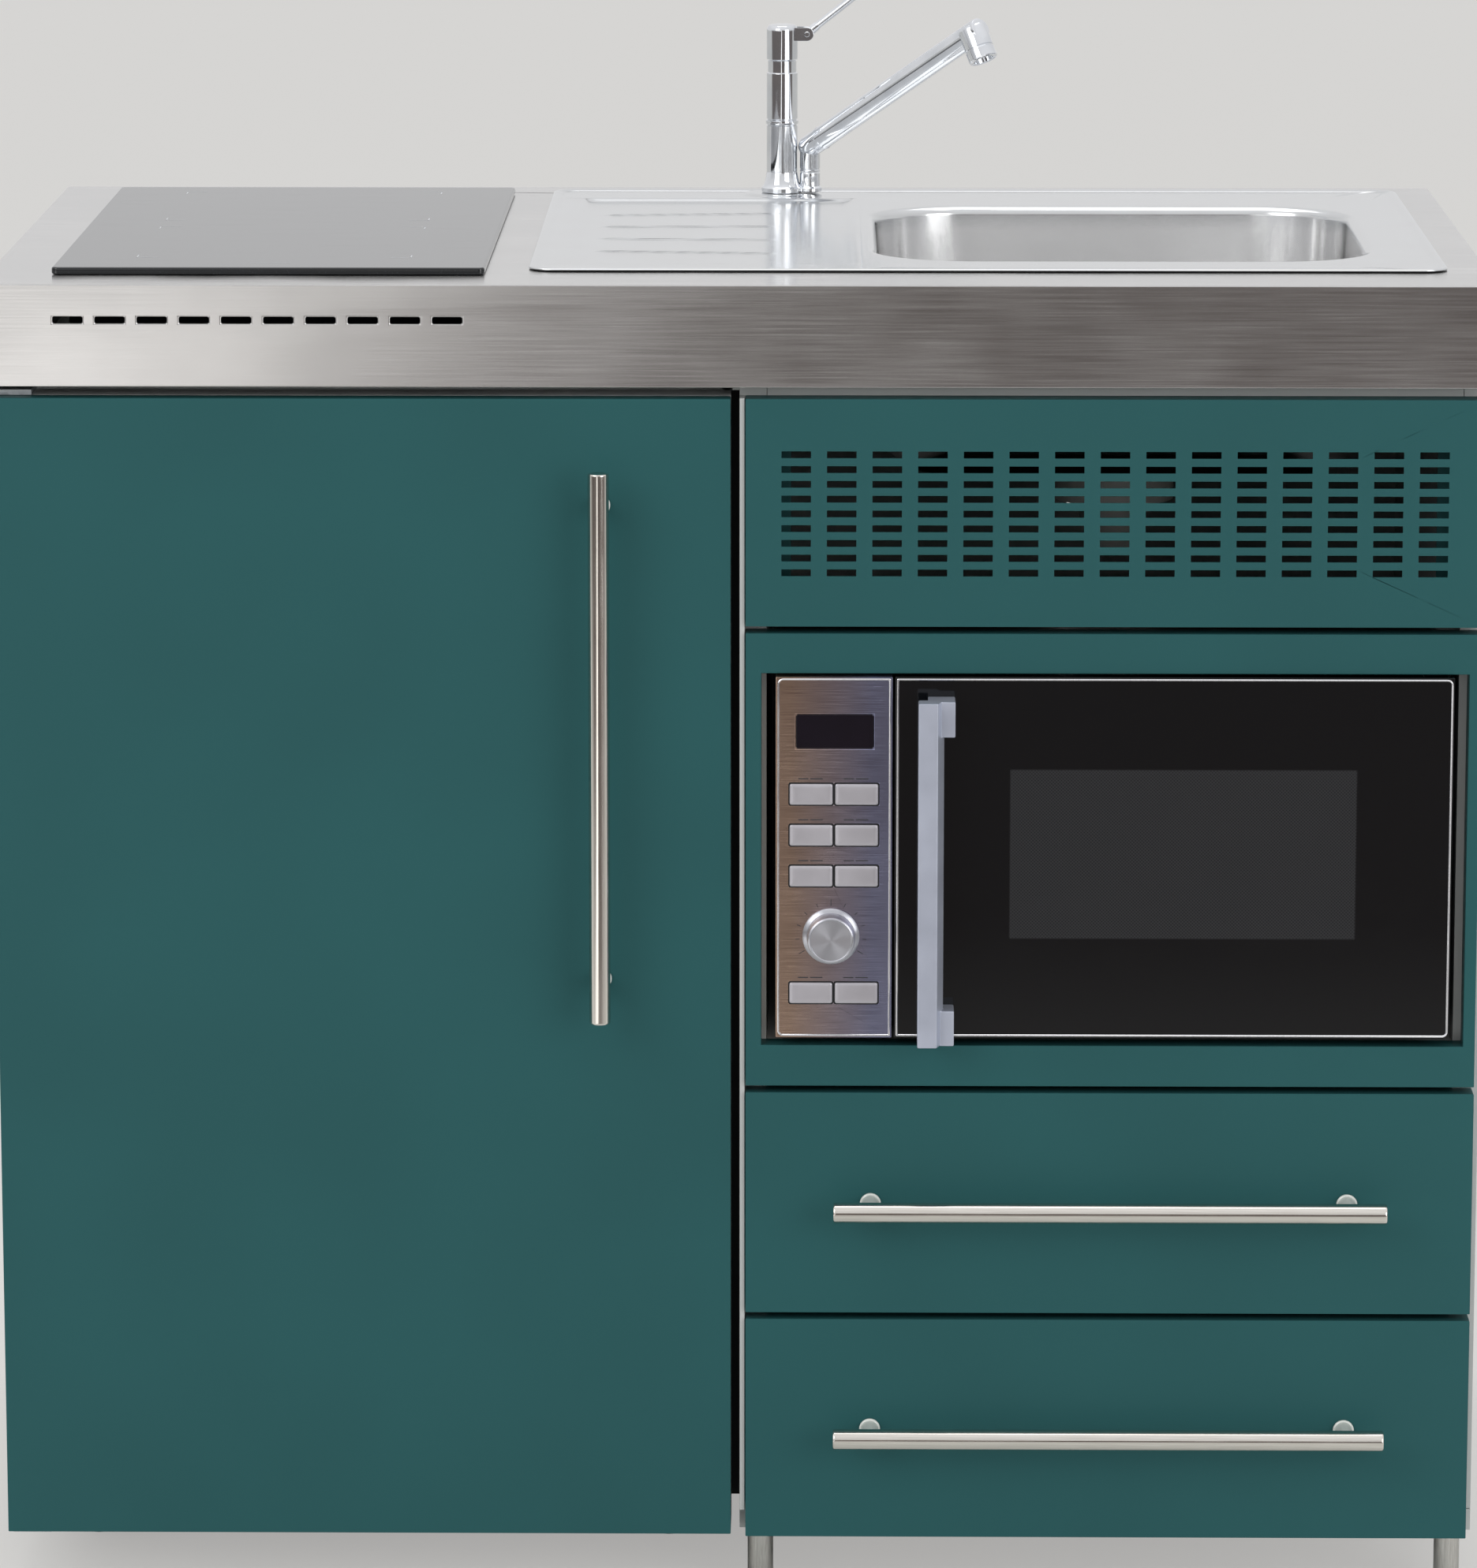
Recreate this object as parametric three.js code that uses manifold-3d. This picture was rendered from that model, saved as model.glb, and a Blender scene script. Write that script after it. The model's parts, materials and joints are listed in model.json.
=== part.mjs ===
// Kitchenette unit, one metre wide: folded steel worktop with a glass hob, an inset sink and a
// slim mixer tap, over an under-counter fridge on the left and a steel cabinet on the right that
// holds a vented panel, a microwave oven and two drawers.
//
// Millimetres. X runs to the right, Y from the front towards the wall, Z up. The origin lies on
// the floor, midway across the width and midway between the handles and the wall face.
// Inside the unit's group a place is given as (x, depth behind the fascia, height above the floor).

import * as THREE from 'three';
import { mergeVertices } from 'three/addons/utils/BufferGeometryUtils.js';
import Module from 'manifold-3d';

// ---------------------------------------------------------------- driving dimensions

const FIT = 0.3; // clearance between two pieces that seat on each other
const REACH = 5; // how far a cutting solid runs past the face it opens
const ROOT = 1; // how far a rail or rib runs into the wall it grows from

// worktop
const WORKTOP_WIDTH = 1000;
const WORKTOP_DEPTH = 600;
const WORKTOP_TOP = 900;
const WORKTOP_SHEET = 1.5;
const FASCIA_HEIGHT = 68;
const FASCIA_LIP = 12;
const FASCIA_SLOT_COUNT = 10;
const FASCIA_SLOT_LENGTH = 20;
const FASCIA_SLOT_HEIGHT = 4.5;
const FASCIA_SLOT_PITCH = 27.8;
const FASCIA_SLOT_DROP = 23.7;
const FASCIA_SLOT_SHIFT = 3.5;

// carcass of folded sheet
const BODY_SHEET = 1.2;
const WALL_THICKNESS = 18;
const DIVIDER_X = 1.3;
const CARCASS_LIFT = 0.2; // above the fronts' lower edge
const CARCASS_DROP = 50; // below the worktop's face
const BASE_THICKNESS = 15;
const SHELF_THICKNESS = 15;
const RAIL_HEIGHT = 45;
const RAIL_DEPTH = 18;
const LEG_RADIUS = 8.75;
const LEG_PAD_RADIUS = 12.5;
const LEG_PAD_HEIGHT = 5;
const LEG_INSET = 14;
const LEG_SETBACK = 42;
const LEFT_PANEL_FRONT = 62;
const LEFT_PANEL_FLANGE = 26;
const SERVICE_HOLE_RADIUS = 32;
const BACK_LAP = 20;

// teal fronts
const FRONT_SHEET = 1.2;
const FRONT_DEPTH = 20;
const FRONT_FLANGE = 30;
const FRONT_GAP = 4.6;
const FRONTS_DROP = 7.5; // below the worktop's fascia
const FRONTS_BOTTOM = 46.8;
const FRONTS_LEFT_REVEAL = 4.2; // of the divider's face beside the fronts
const FRONTS_RIGHT_REVEAL = 4.7;
const VENT_PANEL_HEIGHT = 151.9;
const VENT_MARGIN_X = 22;
const VENT_MARGIN_Z = 32;
const VENT_SLOT_LENGTH = 19.5;
const VENT_SLOT_HEIGHT = 4.5;
const VENT_PITCH_X = 30.08;
const VENT_PITCH_Z = 9.86;
const VENT_FIELD_SHIFT = 0.45;
const SURROUND_LEFT_BORDER = 10.45;
const SURROUND_RIGHT_BORDER = 7.95;
const SURROUND_TOP_BORDER = 26.9;
const SURROUND_BOTTOM_BORDER = 28;
const NICHE_SIDE_GAP = 9.8; // between the oven and the edge of its niche
const NICHE_TOP_GAP = 1.8;
const NICHE_FLOOR_GAP = 6.1;

// bar handles
const HANDLE_PROJECTION = 35;
const HANDLE_BAR_RADIUS = 7;
const HANDLE_POST_RADIUS = 5.8;
const HANDLE_LENGTH = 370;
const HANDLE_OVERHANG = 25; // of the bar beyond each post
const FRIDGE_HANDLE_INSET = 86.5;
const FRIDGE_HANDLE_DROP = 230.5;

// drawers
const DRAWER_LIFT = 20;
const DRAWER_BOX_DROP = 27.2; // below the front's upper edge
const DRAWER_BOX_DEPTH = 455;
const DRAWER_WALL = 13;
const DRAWER_FLOOR = 3;
const RUNNER_THICKNESS = 12.7;
const RUNNER_HEIGHT = 42;
const RUNNER_LENGTH = 440;

// hob
const HOB_WIDTH = 288;
const HOB_LEFT_MARGIN = 43.5;
const HOB_FRONT = 50;
const HOB_BACK_MARGIN = 52;
const HOB_GLASS = 5;
const HOB_CORNER = 4;
const HOB_MARGIN = 10;
const HOB_CASING_HEIGHT = 58;
const HOB_CASING_SHEET = 1;

// sink
const SINK_GAP = 28; // between the hob and the sink
const SINK_RIGHT_MARGIN = 26.5;
const SINK_FRONT = 70;
const SINK_BACK_MARGIN = 32;
const SINK_CORNER = 17;
const SINK_RISE = 2.5;
const SINK_SHEET = 1.2;
const SINK_MARGIN = 11;
const SINK_SEAL_HEIGHT = 0.7;
const SINK_SEAL_INSET = 2.5;
const BOWL_RIGHT_MARGIN = 47.5;
const BOWL_FRONT_MARGIN = 59;
const BOWL_WIDTH = 333;
const BOWL_LENGTH = 328;
const BOWL_CORNER = 65;
const BOWL_DEPTH = 155;
const BOWL_FOOT_RADIUS = 28;
const DRAINER_LEFT_MARGIN = 22.5;
const DRAINER_FRONT_MARGIN = 37;
const DRAINER_BACK_MARGIN = 55;
const DRAINER_BOWL_GAP = 15;
const DRAINER_CORNER = 26;
const DRAINER_DEPTH = 3.5;
const DRAINER_RIB_COUNT = 4;
const DRAINER_RIB_MARGIN = 71; // of the drainer's width that the ribs leave free
const DRAINER_RIB_SHIFT = -18;
const DRAINER_RIB_WIDTH = 5;
const DRAINER_RIB_HEIGHT = 2;
const DRAINER_RIB_PITCH = 79;
const DRAINER_RIB_FAN = 0.03;
const WASTE_RADIUS = 42;
const WASTE_FLANGE_RADIUS = 56;
const WASTE_CUP_DEPTH = 30;
const WASTE_WALL = 2.5;
const WASTE_LEDGE = 4;
const PIPE_RADIUS = 20;
const PIPE_DROP = 58;
const PIPE_BEND_RADIUS = 34;
const STRAINER_RIM = 1.6;
const STRAINER_BASKET_RADIUS = 32;
const STRAINER_BASKET_DEPTH = 9;
const STRAINER_KNOB_RADIUS = 6;
const STRAINER_KNOB_HEIGHT = 14;

// mixer tap
const TAP_INSET = 52; // from the drainer's right end
const TAP_SETBACK = 23; // from the sink's rear edge
const TAP_RADIUS = 11.2;
const TAP_FOOT_RADIUS = 15;
const TAP_FOOT_HEIGHT = 14.5;
const TAP_RING_HEIGHT = 51;
const TAP_RING_WIDTH = 4;
const TAP_RING_RISE = 0.5;
const TAP_NECK_HEIGHT = 87;
const TAP_NECK_WIDTH = 9;
const TAP_CAP_HEIGHT = 25.7;
const TAP_SHANK_RADIUS = 6;
const TAP_SHANK_LENGTH = 36;
const POST_OFFSET = 20.2;
const POST_RADIUS = 7.4;
const SPOUT_ROOT_HEIGHT = 33;
const SPOUT_RADIUS = 8.5;
const SPOUT_LENGTH = 200;
const SPOUT_RISE_DEG = 29;
const SPOUT_YAW_DEG = 46;
const NOZZLE_RADIUS = 10.4;
const NOZZLE_LENGTH = 21;
const NOZZLE_SETBACK = 8.5;
const LEVER_PIVOT_OFFSET = 18;
const LEVER_PIVOT_HEIGHT = 115;
const LEVER_HUB_RADIUS = 5;
const LEVER_HUB_WIDTH = 8;
const LEVER_EAR = 2.2;
const LEVER_ROD_RADIUS = 2.7;
const LEVER_LENGTH = 98;
const LEVER_RISE_DEG = 38;

// fridge
const DOOR_LEFT_REVEAL = 5;
const DOOR_RIGHT_GAP = 5.8;
const DOOR_RAISE = 1.5; // above the lower drawer's edge
const DOOR_PANEL_DEPTH = 16;
const DOOR_THICKNESS = 46;
const DOOR_LINER_WALL = 3;
const DOOR_SEAL_DEPTH = 11.5;
const DOOR_SEAL_WIDTH = 14;
const DOOR_SEAL_INSET = 11;
const DOOR_RIDGE_WIDTH = 18;
const DOOR_RIDGE_DEPTH = 38;
const DOOR_RIDGE_INSET = 54;
const FRIDGE_LEFT_GAP = 10;
const FRIDGE_RIGHT_GAP = 11.3;
const FRIDGE_REAR_GAP = 40.1;
const FRIDGE_WALL = 35;
const FRIDGE_REAR_WALL = 40;
const FRIDGE_FLOOR = 52;
const HUMP_DEPTH = 158;
const HUMP_HEIGHT = 180;
const HUMP_SIDE = 20;
const FRIDGE_SHELF_LIFT = 420;
const FRIDGE_SHELF_GLASS = 4;
const FRIDGE_SHELF_SETBACK = 25.7; // behind the door's rack
const SHELF_RAIL = 6;
const CRISPER_SETBACK = 11.7; // behind the door's rack
const CRISPER_HEIGHT = 150;
const CRISPER_WALL = 2.5;
const CRISPER_SIDE_GAP = 10;
const RACK_LIFT = 60;
const RACK_HEIGHT = 95;
const RACK_DEPTH = 78;
const RACK_WALL = 3;
const HINGE_INSET = 15;
const HINGE_DEPTH = 26;
const HINGE_PLATE = 3.6;
const HINGE_WIDTH = 26;
const HINGE_PIN_RADIUS = 4;
const HINGE_PIN_LENGTH = 14;
const HINGE_TAIL = 50;
const FRIDGE_BASE_PLATE = 5;
const FRIDGE_BASE_FRONT = 122;
const FRIDGE_FOOT_RADIUS = 15;
const FRIDGE_FOOT_FRONT_INSET = 56;
const FRIDGE_FOOT_REAR_INSET = 38.1;
const FRIDGE_FOOT_SIDE_INSET = 40;
const COMPRESSOR_RADIUS = 60;
const COMPRESSOR_HEIGHT = 150;
const COMPRESSOR_INSET = 140;

// microwave oven
const OVEN_HEIGHT = 244.8;
const OVEN_PROUD = 3.5;
const OVEN_FRONT_DEPTH = 33;
const OVEN_DOOR_GAP = 2;
const OVEN_BODY_DEPTH = 340;
const OVEN_SHEET = 1.2;
const OVEN_FOOT_RADIUS = 12;
const OVEN_FOOT_INSET = 45;
const OVEN_PANEL_WIDTH = 77.3;
const OVEN_PANEL_WALL = 2;
const OVEN_PANEL_GAP = 2;
const OVEN_PANEL_LAP = 3.6; // of the body's face behind the panel's edge
const OVEN_DOOR_SKIN = 5;
const OVEN_DOOR_STILE = 12;
const OVEN_HINGE_STILE = 30;
const OVEN_PIVOT_INSET = 8;
const OVEN_PIVOT_DEPTH = 12;
const OVEN_LUG_RADIUS = 6;
const OVEN_LUG_PLATE = 3;
const OVEN_NOTCH_HEIGHT = 8;
const OVEN_NOTCH_WIDTH = 20;
const OVEN_PIN_RADIUS = 2.5;
const OVEN_PIN_LENGTH = 6;
const CAVITY_LEFT = 112;
const CAVITY_RIGHT = 28;
const CAVITY_TOP = 21.8;
const CAVITY_LIFT = 18;
const CAVITY_DEPTH = 300;
const OVEN_HANDLE_X = 100.8;
const OVEN_HANDLE_WIDTH = 13;
const OVEN_HANDLE_DROP = 12.8; // below the oven's upper edge
const OVEN_HANDLE_LIFT = -1;
const OVEN_HANDLE_BAR = 14;
const OVEN_HANDLE_REACH = 29;
const OVEN_HANDLE_FLANK = 4.5;
const OVEN_HANDLE_FOOT = 24;
const OVEN_HANDLE_FOOT_WIDTH = 18;
const DISPLAY_X = 39.1;
const DISPLAY_DROP = 36.8;
const DISPLAY_WIDTH = 52;
const DISPLAY_HEIGHT = 23.7;
const DISPLAY_RECESS = 0.8;
const BUTTON_HEIGHT = 14.4;
const BUTTON_WIDTH = 28.9;
const BUTTON_SPLIT = 1.4;
const BUTTON_PAIR_X = 38.6;
const BUTTON_DEPTH = 9;
const BUTTON_PROUD = 1.7;
const BUTTON_TOP_ROWS = 3;
const BUTTON_TOP_DROP = 79.1;
const BUTTON_ROW_PITCH = 27.75;
const BUTTON_LOW_LIFT = 30.6;
const KNOB_X = 36.8;
const KNOB_SHIFT = 0.9; // below the middle of the space between the button rows
const KNOB_RADIUS = 16;
const KNOB_SKIRT_RADIUS = 19;
const KNOB_SKIRT_HEIGHT = 3;
const KNOB_HEIGHT = 17;
const KNOB_CHAMFER = 1;
const KNOB_SHAFT_RADIUS = 3;
const KNOB_SHAFT_LENGTH = 12;
const TURNTABLE_RADIUS = 122;
const TURNTABLE_THICKNESS = 5;
const TURNTABLE_HUB_RADIUS = 18;
const TURNTABLE_HUB_HEIGHT = 10;

// fineness of round faces
const FINE = 32;
const COARSE = 20;
const ARC = 5;

// ---------------------------------------------------------------- derived places

const BACK_Y = (WORKTOP_DEPTH + HANDLE_PROJECTION) / 2;
const FRONT_Y = BACK_Y - WORKTOP_DEPTH;
const HALF_WIDTH = WORKTOP_WIDTH / 2;

const FRONTS_TOP = WORKTOP_TOP - FASCIA_HEIGHT - FRONTS_DROP;
const CARCASS_BOTTOM = FRONTS_BOTTOM + CARCASS_LIFT;
const CARCASS_TOP = WORKTOP_TOP - CARCASS_DROP;
const CARCASS_FRONT = FRONT_DEPTH + FIT;
const CARCASS_BACK = WORKTOP_DEPTH - WORKTOP_SHEET - FIT;
const CARCASS_RIGHT = HALF_WIDTH - WORKTOP_SHEET - FIT;
const WALL_BACK = CARCASS_BACK - BODY_SHEET - FIT;
const UNDER_WORKTOP = WORKTOP_TOP - WORKTOP_SHEET - FIT;
const INNER_LEFT = DIVIDER_X + WALL_THICKNESS;
const INNER_RIGHT = CARCASS_RIGHT - WALL_THICKNESS;
const INNER_BOTTOM = CARCASS_BOTTOM + BASE_THICKNESS + FIT;
const LEG_TOP = CARCASS_BOTTOM + BASE_THICKNESS - BODY_SHEET - FIT;

// the fronts, from the top: vent panel, surround with the oven's niche, two drawers that share the rest
const FRONTS_LEFT = DIVIDER_X + FRONTS_LEFT_REVEAL;
const FRONTS_WIDTH = CARCASS_RIGHT - FRONTS_RIGHT_REVEAL - FRONTS_LEFT;
const FRONTS_X = FRONTS_LEFT + FRONTS_WIDTH / 2;
const VENT_PANEL_Z = FRONTS_TOP - VENT_PANEL_HEIGHT / 2;
const VENT_COLUMNS = 1 + Math.floor((FRONTS_WIDTH - 2 * VENT_MARGIN_X - VENT_SLOT_LENGTH) / VENT_PITCH_X);
const VENT_ROWS = 1 + Math.floor((VENT_PANEL_HEIGHT - 2 * VENT_MARGIN_Z - VENT_SLOT_HEIGHT) / VENT_PITCH_Z);
const NICHE_WIDTH = FRONTS_WIDTH - SURROUND_LEFT_BORDER - SURROUND_RIGHT_BORDER;
const NICHE_HEIGHT = NICHE_FLOOR_GAP + OVEN_HEIGHT + NICHE_TOP_GAP;
const SURROUND_HEIGHT = SURROUND_BOTTOM_BORDER + NICHE_HEIGHT + SURROUND_TOP_BORDER;
const SURROUND_BOTTOM = FRONTS_TOP - VENT_PANEL_HEIGHT - FRONT_GAP - SURROUND_HEIGHT;
const NICHE_BOTTOM = SURROUND_BOTTOM + SURROUND_BOTTOM_BORDER;
const DRAWER_STEP = (SURROUND_BOTTOM - FRONTS_BOTTOM) / 2;
const DRAWER_FRONT_HEIGHT = DRAWER_STEP - FRONT_GAP;
const DRAWER_BOX_HEIGHT = DRAWER_FRONT_HEIGHT - DRAWER_LIFT - DRAWER_BOX_DROP;
const LOWER_DRAWER_Z = FRONTS_BOTTOM + DRAWER_FRONT_HEIGHT / 2;
const UPPER_DRAWER_Z = LOWER_DRAWER_Z + DRAWER_STEP;
const HANDLE_POST_SPACING = HANDLE_LENGTH - 2 * HANDLE_OVERHANG;

// the worktop's top, from the left: hob, drainer, bowl
const HOB_X = HOB_LEFT_MARGIN + HOB_WIDTH / 2 - HALF_WIDTH;
const HOB_DEPTH = WORKTOP_DEPTH - HOB_FRONT - HOB_BACK_MARGIN;
const HOB_Y = HOB_FRONT + HOB_DEPTH / 2;
const SINK_LEFT = HOB_X + HOB_WIDTH / 2 + SINK_GAP;
const SINK_RIGHT = HALF_WIDTH - SINK_RIGHT_MARGIN;
const SINK_WIDTH = SINK_RIGHT - SINK_LEFT;
const SINK_X = (SINK_LEFT + SINK_RIGHT) / 2;
const SINK_DEPTH = WORKTOP_DEPTH - SINK_FRONT - SINK_BACK_MARGIN;
const SINK_Y = SINK_FRONT + SINK_DEPTH / 2;
const SINK_TOP = WORKTOP_TOP + SINK_RISE;
const BOWL_X = SINK_RIGHT - BOWL_RIGHT_MARGIN - BOWL_WIDTH / 2;
const BOWL_Y = SINK_FRONT + BOWL_FRONT_MARGIN + BOWL_LENGTH / 2;
const BOWL_FLOOR = SINK_TOP - BOWL_DEPTH;
const BOWL_UNDERSIDE = BOWL_FLOOR - SINK_SHEET;
const DRAINER_LEFT = SINK_LEFT + DRAINER_LEFT_MARGIN;
const DRAINER_RIGHT = BOWL_X - BOWL_WIDTH / 2 - DRAINER_BOWL_GAP;
const DRAINER_WIDTH = DRAINER_RIGHT - DRAINER_LEFT;
const DRAINER_X = (DRAINER_LEFT + DRAINER_RIGHT) / 2;
const DRAINER_LENGTH = SINK_DEPTH - DRAINER_FRONT_MARGIN - DRAINER_BACK_MARGIN;
const DRAINER_Y = SINK_FRONT + DRAINER_FRONT_MARGIN + DRAINER_LENGTH / 2;
const DRAINER_RIB_LENGTH = DRAINER_WIDTH - DRAINER_RIB_MARGIN;
const TAP_X = DRAINER_RIGHT - TAP_INSET;
const TAP_DEPTH = SINK_FRONT + SINK_DEPTH - TAP_SETBACK;

// the fridge, between the worktop's left end and the divider
const DOOR_LEFT = DOOR_LEFT_REVEAL - HALF_WIDTH;
const DOOR_RIGHT = DIVIDER_X - DOOR_RIGHT_GAP;
const DOOR_BOTTOM = FRONTS_BOTTOM + DOOR_RAISE;
const DOOR_WIDTH = DOOR_RIGHT - DOOR_LEFT;
const DOOR_HEIGHT = FRONTS_TOP - DOOR_BOTTOM;
const DOOR_X = (DOOR_LEFT + DOOR_RIGHT) / 2;
const DOOR_Z = DOOR_BOTTOM + DOOR_HEIGHT / 2;
const HINGE_X = DOOR_LEFT + HINGE_INSET;
const RACK_BACK = DOOR_THICKNESS + FIT + RACK_DEPTH;
const FRIDGE_LEFT = FRIDGE_LEFT_GAP - HALF_WIDTH;
const FRIDGE_RIGHT = DIVIDER_X - FRIDGE_RIGHT_GAP;
const FRIDGE_FRONT = DOOR_THICKNESS + DOOR_SEAL_DEPTH + 2 * FIT;
const FRIDGE_BACK = CARCASS_BACK - FRIDGE_REAR_GAP;
const LARDER_BOTTOM = DOOR_BOTTOM + FRIDGE_FLOOR;
const LARDER_TOP = FRONTS_TOP - FRIDGE_WALL;
const LARDER_BACK = FRIDGE_BACK - FRIDGE_REAR_WALL;
const HUMP_FRONT = FRIDGE_BACK - HUMP_DEPTH;
const RIDGE_LEFT = FRIDGE_LEFT + FRIDGE_WALL + FIT;

// the oven, in its niche
const OVEN_WIDTH = NICHE_WIDTH - 2 * NICHE_SIDE_GAP;
const OVEN_LEFT = FRONTS_LEFT + SURROUND_LEFT_BORDER + NICHE_SIDE_GAP;
const OVEN_BOTTOM = NICHE_BOTTOM + NICHE_FLOOR_GAP;
const OVEN_BODY_FRONT = OVEN_FRONT_DEPTH + OVEN_DOOR_GAP;
const OVEN_DOOR_LEFT = OVEN_PANEL_WIDTH + OVEN_PANEL_GAP;
const OVEN_HANDLE_HEIGHT = OVEN_HEIGHT - OVEN_HANDLE_DROP - OVEN_HANDLE_LIFT;
const CAVITY_WIDTH = OVEN_WIDTH - CAVITY_LEFT - CAVITY_RIGHT;
const CAVITY_HEIGHT = OVEN_HEIGHT - CAVITY_LIFT - CAVITY_TOP;
const SHELF_TOP = NICHE_BOTTOM - 2 * FIT;
const BUTTON_LOWEST_TOP_ROW = OVEN_HEIGHT - BUTTON_TOP_DROP - (BUTTON_TOP_ROWS - 1) * BUTTON_ROW_PITCH;
const KNOB_LIFT = (BUTTON_LOWEST_TOP_ROW + BUTTON_LOW_LIFT) / 2 - KNOB_SHIFT;

// ---------------------------------------------------------------- finishes

function finish(color, roughness, metalness) {
  return new THREE.MeshStandardMaterial({ color, roughness, metalness });
}

const BRUSHED_STAINLESS = finish(0xb9b4ae, 0.35, 1);
const SINK_STAINLESS = finish(0xcfd0d0, 0.25, 1);
const SATIN_STAINLESS = finish(0xbfb8ad, 0.3, 1);
const CHROME = finish(0xe6e8ea, 0.06, 1);
const TEAL_ENAMEL = finish(0x2e5759, 0.5, 0);
const GREY_ENAMEL = finish(0xb8bab9, 0.5, 0);
const HOB_CERAMIC = finish(0x14171a, 0.08, 0);
const BLACK_GLASS = finish(0x08090b, 0.1, 0);
const BLACK_STEEL = finish(0x1b1c1e, 0.45, 0.2);
const WHITE_LINER = finish(0xeef0ef, 0.35, 0);
const CLEAR_PLASTIC = finish(0xdbe6e8, 0.15, 0);
const CLEAR_GLASS = finish(0xd4e0de, 0.05, 0);
const GREY_RUBBER = finish(0x8d9091, 0.8, 0);
const BLACK_RUBBER = finish(0x17181a, 0.8, 0);
const WHITE_PLASTIC = finish(0xe4e4e0, 0.45, 0);
const ZINC = finish(0xa9adb0, 0.4, 1);
const PANEL_METAL = finish(0x8e8791, 0.35, 1);
const BUTTON_METAL = finish(0xb2aeb4, 0.35, 0.8);
const SILVER_PLASTIC = finish(0xb4b4ba, 0.35, 0.6);

// ---------------------------------------------------------------- solid tools

const wasm = await Module();
wasm.setup();

function toSolid(geometry) {
  const bare = geometry.clone();
  bare.deleteAttribute('normal');
  bare.deleteAttribute('uv');
  const merged = mergeVertices(bare);
  return new wasm.Manifold(new wasm.Mesh({
    numProp: 3,
    vertProperties: new Float32Array(merged.attributes.position.array),
    triVerts: new Uint32Array(merged.index.array),
  }));
}

function toGeometry(solid) {
  const { vertProperties, triVerts } = solid.getMesh();
  const geometry = new THREE.BufferGeometry();
  geometry.setAttribute('position', new THREE.BufferAttribute(vertProperties, 3));
  geometry.setIndex(new THREE.BufferAttribute(triVerts, 1));
  geometry.computeVertexNormals();
  return geometry;
}

function cut(base, ...tools) {
  return toGeometry(tools.reduce((solid, tool) => solid.subtract(toSolid(tool)), toSolid(base)));
}

function join(first, ...others) {
  return toGeometry(others.reduce((solid, other) => solid.add(toSolid(other)), toSolid(first)));
}

// a block between two corners, given as ranges along X, Y and Z
function block([x0, x1], [y0, y1], [z0, z1]) {
  const geometry = new THREE.BoxGeometry(x1 - x0, y1 - y0, z1 - z0);
  return geometry.translate((x0 + x1) / 2, (y0 + y1) / 2, (z0 + z1) / 2);
}

const around = (centre, size) => [centre - size / 2, centre + size / 2];

// an upright cylinder from height z0 to z1 at (x, y)
function upright(radius, x, y, z0, z1, segments = FINE) {
  const geometry = new THREE.CylinderGeometry(radius, radius, z1 - z0, segments);
  return geometry.rotateX(Math.PI / 2).translate(x, y, (z0 + z1) / 2);
}

// a cylinder along Y from depth y0 to y1 at (x, z)
function through(radius, x, z, y0, y1, segments = FINE) {
  const geometry = new THREE.CylinderGeometry(radius, radius, y1 - y0, segments);
  return geometry.translate(x, (y0 + y1) / 2, z);
}

// a turned piece about Z: the profile lists [radius, height] from the lower to the upper end
function turned(profile, segments = FINE) {
  const points = profile.map(([radius, height]) => new THREE.Vector2(radius, height));
  return new THREE.LatheGeometry(points, segments).rotateX(Math.PI / 2);
}

function roundedRectangle(width, length, radius) {
  const outline = new THREE.Shape();
  const [x, y] = [width / 2 - radius, length / 2 - radius];
  const corners = [[x, -y], [x, y], [-x, y], [-x, -y]];
  corners.forEach(([cx, cy], quarter) => {
    outline.absarc(cx, cy, radius, ((quarter - 1) * Math.PI) / 2, (quarter * Math.PI) / 2);
  });
  return outline;
}

// a plate with rounded corners from height z0 to z1, centred on (x, y)
function roundedPlate(width, length, radius, [x, y], [z0, z1]) {
  const geometry = new THREE.ExtrudeGeometry(roundedRectangle(width, length, radius), {
    depth: z1 - z0, bevelEnabled: false, curveSegments: ARC,
  });
  return geometry.translate(x, y, z0);
}

// a basin-shaped block: rounded corners, rounded foot, flat top at height z1
function basin(width, length, radius, foot, [x, y], [z0, z1]) {
  const outline = roundedRectangle(width - 2 * foot, length - 2 * foot, radius - foot);
  const height = z1 - z0;
  const geometry = new THREE.ExtrudeGeometry(outline, {
    depth: height, bevelEnabled: true, bevelThickness: foot, bevelSize: foot, bevelSegments: ARC,
    curveSegments: ARC,
  });
  const lid = block(around(0, width + REACH), around(0, length + REACH), [height, height + 2 * foot + REACH]);
  return cut(geometry.translate(0, 0, foot), lid).translate(x, y, z0);
}

function mesh(name, geometry, material, [x, y, z] = [0, 0, 0]) {
  const piece = new THREE.Mesh(geometry, material);
  piece.name = name;
  piece.position.set(x, y, z);
  return piece;
}

// ---------------------------------------------------------------- worktop

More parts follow.
